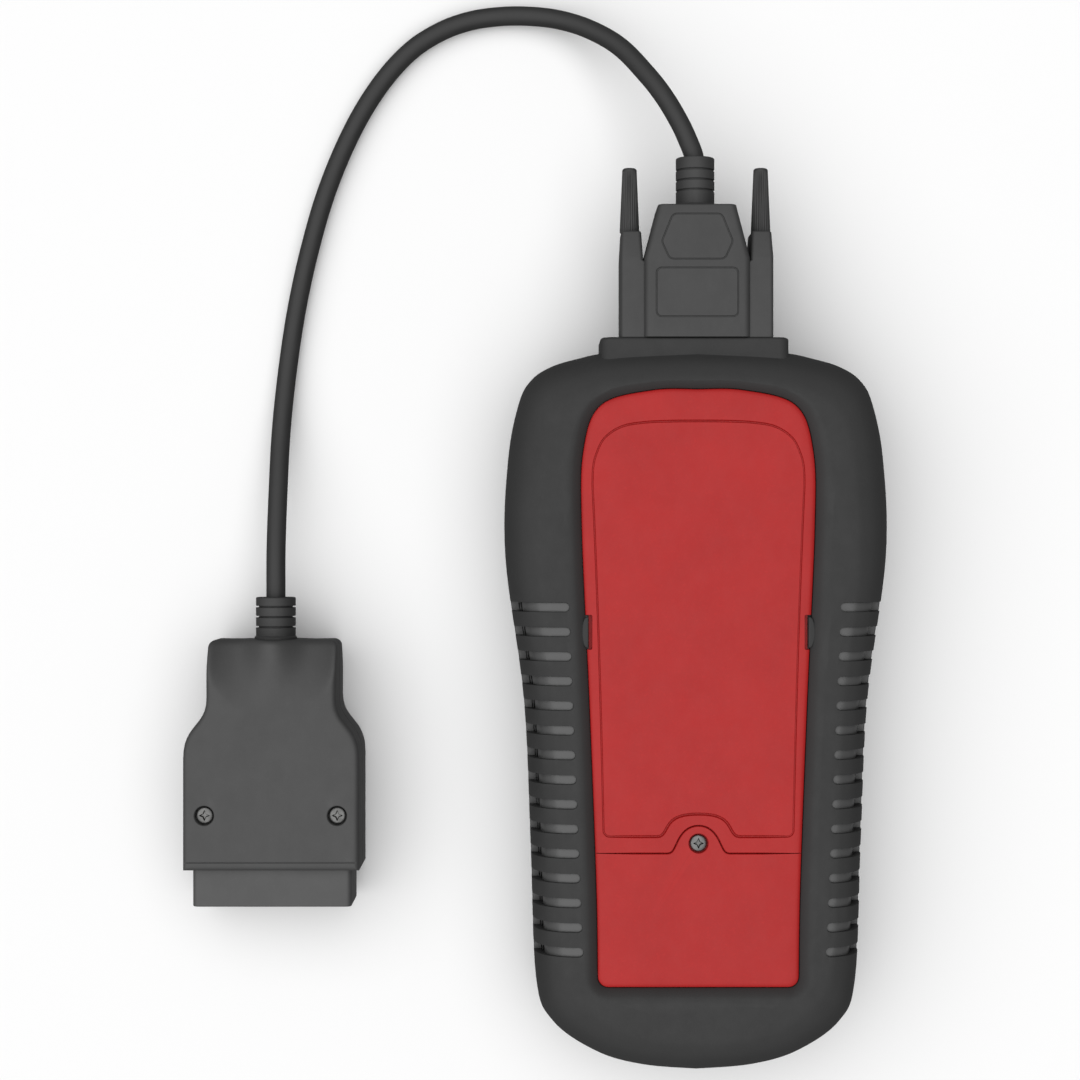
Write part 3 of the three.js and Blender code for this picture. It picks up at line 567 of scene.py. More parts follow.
def dress(piece, body, slot, *nodes, look=None, smooth=35):
    """Gives a piece its look, which is its slot's own or another, and its place in the frame."""
    piece.data.materials.clear()
    piece.data.materials.append(LOOKS[look or slot])
    if piece.type == "MESH":
        piece.data.shade_smooth()
        piece.data.set_sharp_from_angle(angle=math.radians(smooth))
    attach(piece, body)
    if nodes:
        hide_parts(*nodes)
    return piece


def even(piece):
    """Shades wide flat faces evenly right up to their softened edges."""
    modifier = piece.modifiers.new("even", "WEIGHTED_NORMAL")
    modifier.keep_sharp = True
    modifier.weight = 100
    settle(piece)
    return piece


# ---------- materials ----------

class Look:
    """A material being made: its nodes, its shader and the object's own coordinates."""

    def __init__(self, name):
        self.material = bpy.data.materials.new(name)
        self.material.use_nodes = True
        self.nodes = self.material.node_tree.nodes
        self.links = self.material.node_tree.links
        self.place = self.node("ShaderNodeTexCoord").outputs["Object"]

    def put(self, value, entry):
        """Links another node's output to an input, or sets the input to a plain value."""
        if isinstance(value, bpy.types.NodeSocket):
            self.links.new(value, entry)
        else:
            entry.default_value = value

    def fill(self, node, values):
        """Puts a value in each of a node's named inputs. In a name, _ stands for a space."""
        for name, value in values.items():
            self.put(value, node.inputs[name.replace("_", " ")])
        return node

    def node(self, kind, **values):
        return self.fill(self.nodes.new(kind), values)

    def surface(self, **values):
        """Sets the shader's inputs, and returns the finished material."""
        self.fill(self.nodes["Principled BSDF"], values)
        return self.material

    def noise(self, size, detail=2.0, roughness=0.5, stretch=(1, 1, 1)):
        """Noise whose features are about this many millimetres across."""
        scale = [1 / (size * MM * s) for s in stretch]
        place = self.node("ShaderNodeMapping", Vector=self.place, Scale=scale).outputs["Vector"]
        values = {"Vector": place, "Scale": 1, "Detail": detail, "Roughness": roughness}
        return self.node("ShaderNodeTexNoise", **values).outputs["Fac"]

    def bricks(self, size, offset, width, height, line, colours):
        """Rows of cells with lines between them: a size in millimetres, and shares of it."""
        first, second, between = [tint(colour) for colour in colours]
        node = self.node(
            "ShaderNodeTexBrick", Vector=self.place, Scale=1 / (size * MM), Brick_Width=width,
            Row_Height=height, Mortar_Size=line, Color1=first, Color2=second, Mortar=between,
        )
        node.offset = offset
        return node.outputs["Color"], node.outputs["Fac"]

    def spread(self, value, low, high, start=0.3, end=0.7):
        """Maps a noise's middle range to the range from low to high."""
        limits = {"From_Min": start, "From_Max": end, "To_Min": low, "To_Max": high}
        return self.node("ShaderNodeMapRange", Value=value, **limits).outputs["Result"]

    def blended(self, share, low, high):
        """Mixes two colours; either may be a colour or another node's output."""
        node = self.node("ShaderNodeMix")
        node.data_type = "RGBA"
        self.put(share, node.inputs["Factor"])
        first, second = (entry for entry in node.inputs if entry.type == "RGBA")
        self.put(low, first)
        self.put(high, second)
        return next(mixed for mixed in node.outputs if mixed.type == "RGBA")

    def bumps(self, *layers):
        """Stacked bump layers: each is a height value and a depth in millimetres."""
        node = None
        for height, depth in layers:
            below = {"Normal": node.outputs["Normal"]} if node else {}
            node = self.node("ShaderNodeBump", Height=height, Strength=1, Distance=depth * MM, **below)
        return node.outputs["Normal"]


def tint(colour, factor=1):
    return (*[min(c * factor, 1) for c in colour], 1)


def moulded(name, colour, roughness, grain, depth, specular=0.5, wear=1.3):
    """Moulded plastic or rubber: a spark-eroded grain, faint mottling, paler worn edges and scuffed
    patches that are a little shinier.
    """
    look = Look(name)
    fine = look.noise(grain, 3, 0.6)
    mottle = look.noise(14, 4, 0.55)
    speck = look.noise(grain * 2.6, 2)
    scuff = look.noise(4, 5, 0.7, (1, 1.4, 1))
    pointiness = look.node("ShaderNodeNewGeometry").outputs["Pointiness"]
    base = look.blended(look.spread(mottle, 0, 1), tint(colour, 0.95), tint(colour, 1.05))
    base = look.blended(look.spread(speck, 0, 0.35, 0.55, 0.8), base, tint(colour, 1.25))
    base = look.blended(look.spread(pointiness, 0, 0.5, 0.52, 0.62), base, tint(colour, wear))
    return look.surface(
        Base_Color=base, Roughness=look.spread(scuff, roughness + 0.04, roughness - 0.05, 0.35, 0.75),
        Specular_IOR_Level=specular, Normal=look.bumps((mottle, depth * 1.5), (fine, depth)),
    )


def metal(name, colour, roughness):
    """Plated metal with fine drawn lines, small pits and a little dulling."""
    scratch = 0.12
    depth = 0.004
    look = Look(name)
    lines = look.noise(scratch, 3, 0.6, (1, 14, 4))
    dull = look.noise(1.6, 4, 0.6)
    pits = look.noise(scratch * 1.5, 2)
    return look.surface(
        Base_Color=look.blended(look.spread(dull, 0, 1), tint(colour, 0.8), tint(colour)), Metallic=1,
        Roughness=look.spread(dull, roughness + 0.12, roughness - 0.08),
        Normal=look.bumps((lines, depth), (pits, depth * 0.7)),
    )


def jacket(name, colour):
    """Extruded cord jacket: a fine grain, soft dirt and a satin finish."""
    look = Look(name)
    grain = look.noise(0.35, 3, 0.6)
    dirt = look.noise(9, 5, 0.65)
    return look.surface(
        Base_Color=look.blended(look.spread(dirt, 0, 1), tint(colour, 0.88), tint(colour, 1.12)),
        Roughness=look.spread(dirt, 0.52, 0.66), Specular_IOR_Level=0.4,
        Normal=look.bumps((dirt, 0.03), (grain, 0.012)),
    )


def glass(name):
    """The clear window over the screen, with faint smears."""
    look = Look(name)
    smear = look.noise(9, 5, 0.6, (1, 3, 1))
    return look.surface(
        Base_Color=(0.86, 0.92, 0.88, 1), Transmission_Weight=1,
        Roughness=look.spread(smear, 0.02, 0.09), Normal=look.bumps((smear, 0.004)),
    )


def display(name):
    """The switched-off screen: grey-green, with its dot matrix just visible."""
    look = Look(name)
    colours = [(0.21, 0.26, 0.17), (0.20, 0.25, 0.165), (0.24, 0.29, 0.20)]
    colour, relief = look.bricks(0.5, 0, 1, 1, 0.08, colours)
    haze = look.noise(20, 3)
    return look.surface(
        Base_Color=colour, Roughness=look.spread(haze, 0.25, 0.35), Normal=look.bumps((relief, 0.01)),
    )


def board(name):
    """Green solder mask over copper tracks."""
    look = Look(name)
    colours = [(0.012, 0.10, 0.035), (0.014, 0.115, 0.04), (0.03, 0.19, 0.07)]
    colour, relief = look.bricks(3, 0.35, 2.4, 0.45, 0.07, colours)
    haze = look.noise(3, 4)
    return look.surface(
        Base_Color=colour, Roughness=look.spread(haze, 0.3, 0.45), Normal=look.bumps((relief, 0.03)),
    )


def grey(value):
    return (value, value, value)


# Colour, roughness, the grain's size and depth in millimetres, the specular level and the worn edges
MOULDED = {
    "boot_rubber": (grey(0.0235), 0.72, 0.22, 0.03, 0.45, 1.25),
    "housing_plastic": (grey(0.057), 0.38, 0.3, 0.012),
    "red_plastic": ((0.368, 0.0085, 0.008), 0.55, 0.25, 0.016, 0.36, 1.1),
    "hood_plastic": (grey(0.036), 0.6, 0.25, 0.02, 0.45),
    "knob_plastic": (grey(0.029), 0.55, 0.25, 0.02, 0.45),
    "relief_rubber": (grey(0.029), 0.6, 0.25, 0.02, 0.45),
    "plug_plastic": (grey(0.0475), 0.6, 0.25, 0.02, 0.45),
    "nose_plastic": (grey(0.061), 0.55, 0.25, 0.016, 0.45),
    "black_plastic": (grey(0.014), 0.45, 0.2, 0.012),
    "key_rubber": (grey(0.30), 0.62, 0.2, 0.012, 0.4),
    "battery_can": ((0.030, 0.030, 0.034), 0.3, 0.3, 0.006, 0.5, 2.0),
}
LOOKS = {
    **{name: moulded(name, *values) for name, values in MOULDED.items()},
    "screw_steel": metal("screw_steel", (0.16, 0.16, 0.157), 0.36),
    "connector_steel": metal("connector_steel", (0.58, 0.57, 0.55), 0.3),
    "contact_brass": metal("contact_brass", (0.72, 0.54, 0.24), 0.3),
    "cord_jacket": jacket("cord_jacket", grey(0.0245)),
    "window_plastic": glass("window_plastic"),
    "display": display("display"),
    "circuit_board": board("circuit_board"),
}


# ---------- handheld ----------

CASE = case_outline()


def inner_body(name, depth, foot, head):
    """A body from foot to head, whose sides run this far inside the case's."""
    def inset_at(z):
        if z <= HOUSING_PROFILE[0][0]:
            return HOUSING_PROFILE[0][1]
        for (z0, inset0), (z1, inset1) in zip(HOUSING_PROFILE, HOUSING_PROFILE[1:]):
            if z <= z1:
                return inset0 + (inset1 - inset0) * (z - z0) / (z1 - z0)
        return HOUSING_PROFILE[-1][1]

    between = [z for z, _ in HOUSING_PROFILE if foot < z < head]
    return domed(name, CASE, [(z, inset_at(z) + depth) for z in (foot, *between, head)])


def slot_bodies(name, shorter, half, under, top):
    """All grip slots in one mesh. Their round inner ends drift inwards towards the foot."""
    made = []
    for i in range(SLOT_COUNT):
        y = SLOT_TOP_Y - i * SLOT_PITCH
        share = i / (SLOT_COUNT - 1)
        for side, end, drift in zip((1, -1), SLOT_INNER_ENDS, SLOT_DRIFT):
            round_end = arc((end - drift * share + shorter + half, y), half, 90, 270, 8)
            outline = [(SLOT_REACH, y + half), *round_end, (SLOT_REACH, y - half)]
            made.append(prism("slot", on_side(side, outline), under, top))
    return together(name, made)


def make_collar():
    """The collar round the port: its head is softened, and its root runs down inside the case."""
    half_width, half_height = COLLAR_HALF
    corner = 0.9

    def section(y, wider, deeper):
        outline = rectangle(half_width + wider, half_height + deeper, 2.6, *COLLAR_PLACE, 8)
        return lying(outline, y)

    root = [(78, 0.4), (85.8, 0.4), (86.6, 0.3), (87.4, 0.15), (88.4, 0.03), (89.4, 0)]
    rings = [section(y, 0, rise) for y, rise in root]
    for turn in quarter_turn(6):
        inset = corner * (1 - math.cos(turn))
        rings.append(section(COLLAR_HEAD - corner + corner * math.sin(turn), -inset, -inset))
    return skin("collar", rings)


def make_boot():
    """The rubber boot and its collar, open over the panel, the front, the port and the grips."""
    profile = [(z, max(inset, 0)) for z, inset in spline(BOOT_PROFILE, 4)]
    boot = unite(domed("boot", CASE, profile), make_collar())
    lip = [(32.4, 0.15), (32.6, 0.25), (34.0, 1.9), (34.3, 2.5), (34.5, 3.2), (34.58, 4.2)]
    opening = flared("opening", panel_outline(), [(PANEL_UNDER - 1, 0.15), *lip, (CASE_TOP + 1, 5)])
    radius = 1.6
    front_lip = [(radius * (1 - math.sin(a)), radius * (1 - math.cos(a))) for a in quarter_turn(5)[::-1]]
    front = flared("front", shrunk(CASE, FACE_INSET), [(-1, 1.8), *front_lip, (3.2, 0)])
    pocket = inner_body("pocket", BOOT_WALL, 2.6, PANEL_UNDER)
    port = pillow_along_y("port", rectangle(19.8, 6.6, 1.2, 0, PORT_Z), 80, 95, 0.3, 2)
    boot = cut(boot, pocket, opening, front, port, slot_bodies("slots", 0, SLOT_HALF, SLOT_FLOOR, 40))
    soften(boot, 0.2, 45)
    dress(boot, "handheld", "boot_rubber", "rubber_boot")


def make_clips():
    """The D-shaped catches that hold the panel, one in each of its side notches."""
    reach = CLIP_HALF - 0.25
    flat = CLIP_HALF - 0.3
    bow = [(0.45 + 1.2 * math.cos(a), reach * math.sin(a)) for a in sweep(-90, 90, 14)]
    outline = [(x + CLIP_INNER, y + CLIP_Y) for x, y in (*bow, (0, flat), (0, -flat))]
    for name, side in SIDES:
        clip = pillow(f"clip_{name}", on_side(side, outline), PANEL_UNDER + 0.2, 33.3, 0.3, 3)
        dress(clip, "handheld", "boot_rubber")


def notches():
    """Cutters for the catches' places in the panel's edge, each with a shallow step beside it."""
    made = []
    for side in (-1, 1):
        deep = rectangle(3.4, CLIP_HALF + 0.2, 0.3, side * (CLIP_INNER + 3.3), CLIP_Y, 4)
        shallow = rectangle(3.8, CLIP_HALF + 0.3, 0.4, side * (CLIP_INNER + 2.85), CLIP_Y, 4)
        made.append(prism("notch", deep, 30, REBATE_Z + 0.5))
        made.append(flared("notch", shallow, [(CLIP_STEP_Z, 0), (33.2, 0), (33.45, 0.1), (34.2, 0.75)]))
    return made


def panel_body(name):
    profile = [(z, max(inset, 0)) for z, inset in spline(PANEL_PROFILE, 4)]
    return domed(name, panel_outline(), profile)


def make_panel():
    """The red back panel, with its thin line, the catches' notches and the door's place left free."""
    groove_levels = [(32.9, 0.12), (33.1, 0.24), (33.42, 0.27), (33.9, 0.6)]
    groove = channel("groove", contour_outline(), groove_levels)
    seat = [(30, -1), (REBATE_Z, -1), (REBATE_Z, SEAM)]
    edge = [(33.3, SEAM), (33.5, SEAM + 0.08), (34.2, SEAM + 0.7)]
    seam = flared("seam", door_outline(), seat + edge)
    panel = cut(panel_body("panel"), groove, seam, *notches())
    dress(panel, "handheld", "red_plastic", "back_panel")


def make_door():
    """The battery door: it narrows below the rebate, and has a well for its screw's head."""
    step = REBATE_Z + 0.2
    region_levels = [(30, -1.25), (step, -1.25), (step, 0), (33.3, 0), (33.5, -0.08), (34.2, -0.7)]
    region = flared("region", door_outline(), region_levels)
    door = combine(panel_body("door"), "INTERSECT", region)
    well_levels = [(32.1, 0), (33.35, 0), (33.5, 0.08), (34.2, 0.6)]
    well = flared("well", circle(2.4, 0, DOOR_SCREW_Y), well_levels)
    bore = cylinder("bore", 1.6, 0, DOOR_SCREW_Y, 30, 33, 24)
    dress(cut(door, well, bore), "door", "red_plastic", "battery_door")


def screw_star(radius, x, y):
    """A four-pointed star with hollow sides."""
    steps = 5
    outline = []
    for k in range(4 * steps):
        pinch = 1 - 0.56 * math.sin(math.pi * (k % steps) / steps) ** 0.8
        angle = math.pi / 2 * k / steps
        outline.append((x + radius * pinch * math.cos(angle), y + radius * pinch * math.sin(angle)))
    return outline


def make_screw(name, node, body):
    """A pan-head screw with a star recess, fitted to its CAD node."""
    (x, y, _), (radius, _, _) = node_place(node)
    foot, top = (corner.z for corner in node_box(node))
    shank = 1.25
    pitch = 0.35
    rise = 0.55
    neck = top - 1
    turns = int((neck - 2 - foot) / pitch)
    point = [(0.3, foot), (shank * 0.7, foot + 0.6)]
    thread = [(shank - 0.25 * (k % 2), foot + 1 + pitch * k) for k in range(turns)]
    dome = [(radius * math.cos(a), top - rise + rise * math.sin(a) ** 1.2) for a in quarter_turn(8)[:-1]]
    profile = [*point, *thread, (shank, neck), (radius, neck), *dome, (0.05, top)]
    screw = turned(name, profile, "Z", (x, y), 40)
    star = screw_star(radius * 0.7, x, y)
    recess = flared("recess", star, [(top - 0.85, -0.26), (top - 0.3, -0.08), (top + 0.2, 0.04)])
    dress(cut(screw, recess), body, "screw_steel", node, smooth=30)


def grip_ribs():
    """The housing's ribs that fill the boot's grip slots, each with a small step at its outer end."""
    ribs = slot_bodies("ribs", FIT, SLOT_HALF - FIT, SPLIT_Z + GAP, CASE_TOP)
    step = [(SPLIT_Z + GAP, 2.45), (22.6, 2.45), (22.6, 2.75), (21.4, 2.78), (21.4, 3.0), (24, 3.1)]
    form = domed("form", CASE, [*step, *spline(RIB_PROFILE, 4)])
    return combine(ribs, "INTERSECT", form)


def grip_ledges():
    """The lower halves of the ribs, which come out flush with the boot's side."""
    ledges = slot_bodies("ledges", 2, SLOT_HALF - FIT, SLOT_FLOOR + GAP, LEDGE_TOP)
    belt_levels = [(SLOT_FLOOR, 0.2), (14, 0.05), (LEDGE_TOP - 0.3, 0.05), (LEDGE_TOP, 0.3)]
    belt = domed("belt", CASE, belt_levels)
    deep = BOOT_WALL + GAP + 1
    core = domed("core", CASE, [(SLOT_FLOOR - 1, deep), (SPLIT_Z, deep), (SPLIT_Z, 2.15), (40, 2.15)])
    return cut(combine(ledges, "INTERSECT", belt), core)


def make_back_housing():
    """The back shell: its grip ribs, the battery's tray, the screws' posts and its half of the port."""
    foot = SPLIT_Z + GAP
    top = PANEL_UNDER - GAP
    depth = BOOT_WALL + GAP
    shell = inner_body("back_shell", depth, foot, top)
    inside = inner_body("inside", depth + HOUSING_WALL, foot - 1, top - HOUSING_WALL)
    housing = cut(unite(shell, grip_ribs()), inside)
    near, far = (corner.y for corner in node_box("battery"))
    tray = box("tray", around(0, 26.2), (near - 2.1, far + 2.2), (11.8, top - 1))
    bay = pillow("bay", rectangle(25, 13.6, 1.2, 0, (near + far) / 2), 12.9, top + 1, 0.4, 3)
    housing = cut(unite(housing, tray), bay)
    for corner in ("head_left", "head_right", "foot_left", "foot_right"):
        x, y, _ = node_place(f"case_screw_{corner}")[0]
        column = cylinder("post", 4.2, x, y, foot, top - 1.5)
        well = cylinder("well", 3.2, x, y, 22, top + 1)
        bore = cylinder("bore", 1.75, x, y, foot - 1, 23, 24)
        housing = cut(unite(housing, column), well, bore)
    boss = cylinder("boss", 3.2, 0, DOOR_SCREW_Y, 20, top - 1)
    hole = cylinder("hole", 1.6, 0, DOOR_SCREW_Y, 22, top + 1, 24)
    port = box("port", *PORT_CUT, (foot - 1, PORT_Z + 5))
    housing = cut(unite(housing, boss), hole, port)
    soften(housing, 0.12, 50)
    dress(housing, "handheld", "housing_plastic", "back_housing")


def key_outline(node, grow):
    """A key's rounded outline, which lies inside its flange, and the key's middle."""
    (x, y, _), (flange_x, flange_y, _) = node_place(node)
    half_width = flange_x - KEY_FLANGE
    half_height = flange_y - KEY_FLANGE
    radius = min(half_width, half_height) * 0.8
    return rectangle(half_width + grow, half_height + grow, radius + grow, x, y, 8), (x, y)


def key_nodes():
    return sorted(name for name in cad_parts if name.startswith("key_"))


def make_front_housing():
    """The front shell: its window, the keys' holes, a line round the keypad and its half of the port."""
    floor = FACE_Z + HOUSING_WALL
    depth = BOOT_WALL + GAP
    inside = inner_body("inside", depth + HOUSING_WALL, floor, SPLIT_Z + 1)
    shell = cut(inner_body("front_shell", depth, FACE_Z, SPLIT_Z), inside)
    (_, middle, _), (half_width, half_height, _) = node_place("lcd_window")
    recess = rectangle(half_width + GAP, half_height + GAP, 3, 0, middle, 8)
    pane = rectangle(half_width - 3, half_height - 3, 2, 0, middle, 8)
    shell = cut(
        shell,
        flared("recess", recess, [(FACE_Z - 1, 1), (FACE_Z + 0.1, 0.35), (FACE_Z + 0.4, 0), (4.4, 0)]),
        prism("pane", pane, 4, floor + 1),
        box("port", *PORT_CUT, (PORT_Z - 5, SPLIT_Z + 1)),
    )
    hole_levels = [(FACE_Z - 1, 0.9), (FACE_Z, 0.5), (FACE_Z + 0.4, 0), (floor + 1, 0)]
    holes = [flared("hole", key_outline(node, 0.35)[0], hole_levels) for node in key_nodes()]
    round_keys = rectangle(29.5, 26.5, 9, 0, -33.5, 10)
    frame_line = channel("frame_line", round_keys, [(FACE_Z - 0.5, 0.8), (FACE_Z + 0.5, 0.3)])
    shell = unite(cut(shell, *holes, frame_line), grip_ledges())
    dress(shell, "handheld", "housing_plastic", "front_housing")


def make_key(node):
    """A rubber cap with a rounded rim and a sunk mark, on its flange."""
    outline, (x, y) = key_outline(node, 0)
    cap = flared(f"cap_{node}", outline, [*rim(1.3, 0.9, -1, 5), (5.8, 0)])
    foot = 0.5
    head = 1.6
    half = 2.4
    arrows = {
        "key_up": [(x - half, y - 1.2), (x + half, y - 1.2), (x, y + 1.8)],
        "key_down": [(x - half, y + 1.2), (x, y - 1.8), (x + half, y + 1.2)],
        "key_left": [(x + 1.2, y - half), (x + 1.2, y + half), (x - 1.8, y)],
        "key_right": [(x - 1.2, y - half), (x + 1.8, y), (x - 1.2, y + half)],
    }
    if node in arrows:
        mark = prism("mark", rounded(arrows[node], 0.35, 4), foot, head)
    elif node == "key_ok":
        mark = channel("mark", circle(3.2, x, y), [(foot, 0.35), (head, 0.25)])
    else:
        mark = prism("mark", rectangle(2.6, 0.45, 0.4, x, y, 4), foot, head)
    flange = prism("flange", grown(outline, KEY_FLANGE), 5.4, 6.4)
    cap = unite(cut(cap, mark), flange)
    soften(cap, 0.12, 45)
    even(dress(cap, node, "key_rubber", node))


def make_battery():
    """The battery's can, with rounded ends, and its two contact studs."""
    (_, y, z), (_, half_y, half_z) = node_place("battery")
    can = pillow_along_x("battery_cell", rectangle(half_y, half_z, 2.2, y, z, 8), *BATTERY_ENDS, 0.9, 4)
    dress(can, "handheld", "battery_can", "battery")
    steps = [(2.8, 0), (2.8, 1.2), (2.6, 1.6), (2.2, 1.9), (1.6, 1.9), (1.4, 1.2)]
    profile = [(radius, BATTERY_ENDS[1] - 0.05 + height) for radius, height in steps]
    for name, side in SIDES:
        stud = turned(f"battery_stud_{name}", profile, "X", (y + side * 6.35, z), 32)
        dress(stud, "handheld", "connector_steel")


# ---------- cable ----------

def hood_ear(side):
    """The ear that carries one thumbscrew: a block that narrows towards its head."""
    stations = [
        (HOOD_FOOT, 12.6, 19.2, 7.9), (109.9, 12.6, 19.2, 7.9), (110.5, 13.5, 19.2, 7.9),
        (111.3, 13.55, 19.2, 7.9), (EAR_HEAD - 0.3, 13.9, 18.9, 5.9), (EAR_HEAD, 14.1, 18.6, 5.6),
    ]
    rings = []
    for y, inner, outer, height in stations:
        outline = rectangle((outer - inner) / 2, height, 1, side * (inner + outer) / 2, PORT_Z)
        rings.append(lying(outline, y))
    return skin("ear", rings)


def make_hood():
    """The hood and its ears, hollow round the connector, with two sunk outlines on each face."""
    half, deep = HOOD_HALF
    edge = 0.5

    def section(y, half_width, half_height):
        return lying(rectangle(half_width, half_height, 1.7, 0, PORT_Z), y)

    rings = [section(HOOD_FOOT, half, deep), section(110.9, half, deep)]
    for turn in quarter_turn(4):
        y = HOOD_HEAD - edge + edge * math.sin(turn)
        inset = edge * (1 - math.cos(turn))
        rings.append(section(y, HOOD_NECK_HALF - inset, deep - inset))
    body = skin("hood", rings)
    for side in (-1, 1):
        screw_hole = circle(1.7, side * JACK_X, PORT_Z, 24)
        body = unite(body, hood_ear(side))
        body = cut(body, skin("hole", [lying(screw_hole, 90), lying(screw_hole, 120)]))
    mouth = pillow_along_y("mouth", rectangle(18.85, 6.2, 1.5, 0, PORT_Z), HOOD_FOOT - 1, 93.2, 0.2, 2)
    hollow = box("hollow", around(0, 12.2), (93, 99.3), around(PORT_Z, 3.9))
    bore = turned("bore", [(3.6, 117), (3.6, HOOD_HEAD + 1)], "Y", (0, PORT_Z), 32)
    corners = [(6.9, 110.6), (8.9, 115), (6.1, 121.9)]
    upper = rounded([*corners, *on_side(-1, corners)], 1.6)
    lower = rectangle(10.2, 6.1, 1.3, 0, 102.3)
    grooves = []
    for outline in (upper, lower):
        for side in (1, -1):
            sunk = [(-0.28, 0.1), (-0.1, 0.16), (0.4, 0.5)][::side]
            levels = [(PORT_Z + side * (deep + rise), half_line) for rise, half_line in sunk]
            grooves.append(channel("groove", outline, levels))
    body = cut(body, mouth, hollow, bore, *grooves)
    dress(body, "cable", "hood_plastic", "cable_hood", smooth=25)


def make_thumbscrew(node, side):
    """A tapered, finely fluted grip with a rounded tip, on a shaft with a threaded end."""
    foot = EAR_HEAD + 0.1
    grip_foot = foot + 0.25
    grip_length = KNOB_HEAD - 0.9 - grip_foot
    edge = 0.7
    thread = [(1.4 - 0.18 * (k % 2), 87.9 + 0.25 * k) for k in range(12)]
    grip = [(2.5 - 0.065 * k, grip_foot + grip_length * k / 10) for k in range(11)]
    tip = arc((1.85 - edge, KNOB_HEAD - edge), edge, 0, 90, 5)
    profile = [(1, 87.2), (1.3, 87.6), *thread, (1.4, 91.2), (1.4, foot), (2.3, foot), *grip, *tip]
    flute = (foot + 0.2, KNOB_HEAD - 0.8, 24, 0.17)
    screw = turned(f"fluted_{node}", profile, "Y", (side * JACK_X, PORT_Z), 144, flute)
    dress(screw, node, "hood_plastic", node, look="knob_plastic", smooth=50)


def make_relief(end, place, ends, grooves, radius, depth, stub):
    """A ringed rubber strain relief with a flanged foot, bored for the cord at its head."""
    foot, head = ends
    width = 0.45
    soft = 0.08
    edge = 0.35
    flange = radius + edge
    base = foot - GAP
    seat = [(3.2, stub), (3.2, base), (flange, base + 0.02), (flange, foot + 0.2)]
    profile = [*seat, (radius, foot + 0.6)]
    for near in grooves:
        far = near + width
        profile += [(radius, near - soft), (radius - soft, near), (radius - depth, near + 0.03)]
        profile += [(radius - depth, far - 0.03), (radius - soft, far), (radius, far + soft)]
    bore = CORD_RADIUS + 0.12
    profile += arc((radius - edge, head - edge), edge, 0, 90, 4)
    profile += [(CORD_RADIUS + 0.35, head), (bore, head - 0.2), (bore, head - 4)]
    relief = turned(f"{end}_relief", profile, "Y", place, 56)
    dress(relief, "cable", "relief_rubber", f"{end}_strain_relief", smooth=30)


def make_cord():
    """The vehicle cord: a round line through its route's points, a hair thinner than the CAD's."""
    data = bpy.data.curves.new("vehicle_cord", "CURVE")
    data.dimensions = "3D"
    data.resolution_u = 12
    data.bevel_depth = (CORD_RADIUS - CORD_SKIN) * MM
    data.bevel_resolution = 8
    data.use_fill_caps = True
    route = [placed(point) for point in CORD_ROUTE]
    points = data.splines.new("BEZIER").bezier_points
    points.add(len(route) - 1)
    for point, before, here, after in zip(points, route[:1] + route, route, route[1:] + route[-1:]):
        direction = (after - before).normalized()
        point.handle_left_type = "FREE"
        point.handle_right_type = "FREE"
        point.co = here
        point.handle_left = here - direction * (here - before).length / 3
        point.handle_right = here + direction * (after - here).length / 3
    return dress(new_object("vehicle_cord", data), "cable", "cord_jacket", "cord")


def scoop(x, y):
    """How deep the two thumb hollows beside the cable's ridge are at a place on the plug's face."""
    end = 18
    across = min(abs(x - PLUG_X), end - 1)
    if across < SCOOP_X:
        lobe = 0.5 - 0.5 * math.cos(math.pi * across / SCOOP_X)
    else:
        lobe = 1 - 0.35 * ((across - SCOOP_X) / (PLUG_NECK_HALF - SCOOP_X)) ** 2
    length = SCOOP_LENGTH * math.sqrt(1 - (across / end) ** 2)
    share = max(1 - (PLUG_HEAD - y) / length, 0)
    return SCOOP_DEPTH * share ** 1.5 * lobe


def plug_half(node, side):
    """Half of the plug's shell: side 1 is the upper half, side -1 the lower."""
    face = PLUG_Z + side * (PLUG_TOP - PLUG_Z)
    parting = PLUG_Z + side * 0.15
    radius = 1.5
    levels = [(parting, 0.3), (parting + side * 0.3, 0)]
    for turn in quarter_turn(5):
        levels.append((face - side * radius * (1 - math.sin(turn)), radius * (1 - math.cos(turn))))
    outline = plug_outline()
    rings = [standing(grown(outline, -inset), z) for z, inset in levels]
    inner = grown(outline, -radius)
    rings += [standing(shrunk(inner, 0.9 * k), face) for k in range(1, 22)]
    near_face = PLUG_Z + side * 9
    for ring in rings:
        if side * (ring[0][2] - near_face) > 0:
            ring[:] = [(x, y, z - side * scoop(x, y)) for x, y, z in ring]
    shell = cut(
        skin(f"smooth_{node}", rings if side > 0 else rings[::-1]),
        box("cavity", around(PLUG_X, 20.9), (-41.2, -15), around(PLUG_Z, 10)),
        box("cavity", around(PLUG_X, 14.2), (-16, 12), around(PLUG_Z, 5.4)),
        box("mouth", around(PLUG_X, 20.5), (PLUG_FOOT - 1, -41), around(PLUG_Z, 9.2)),
        turned("entry", [(3.5, 12), (3.5, PLUG_HEAD + 1)], "Y", (PLUG_X, PLUG_Z), 32),
    )
    ends = sorted((parting, face - side * 1.5))
    for x in around(PLUG_X, PLUG_SCREW_X):
        shell = unite(shell, cylinder("post", 3.3, x, PLUG_SCREW_Y, *ends))
        shell = cut(shell, cylinder("bore", 1.6, x, PLUG_SCREW_Y, 3, PLUG_TOP, 24))
        if side > 0:
            well = [(PLUG_TOP - 2.1, 0), (PLUG_TOP - 0.25, 0), (PLUG_TOP + 0.5, 0.5)]
            shell = cut(shell, flared("well", circle(2.45, x, PLUG_SCREW_Y), well))
    heights = sorted((face - side * 0.3, face + side * 2))
    shell = cut(shell, box("line", around(PLUG_X, 30), PLUG_LINE_Y, heights))
    soften(shell, 0.15, 50)
    dress(shell, "cable", "plug_plastic", node)


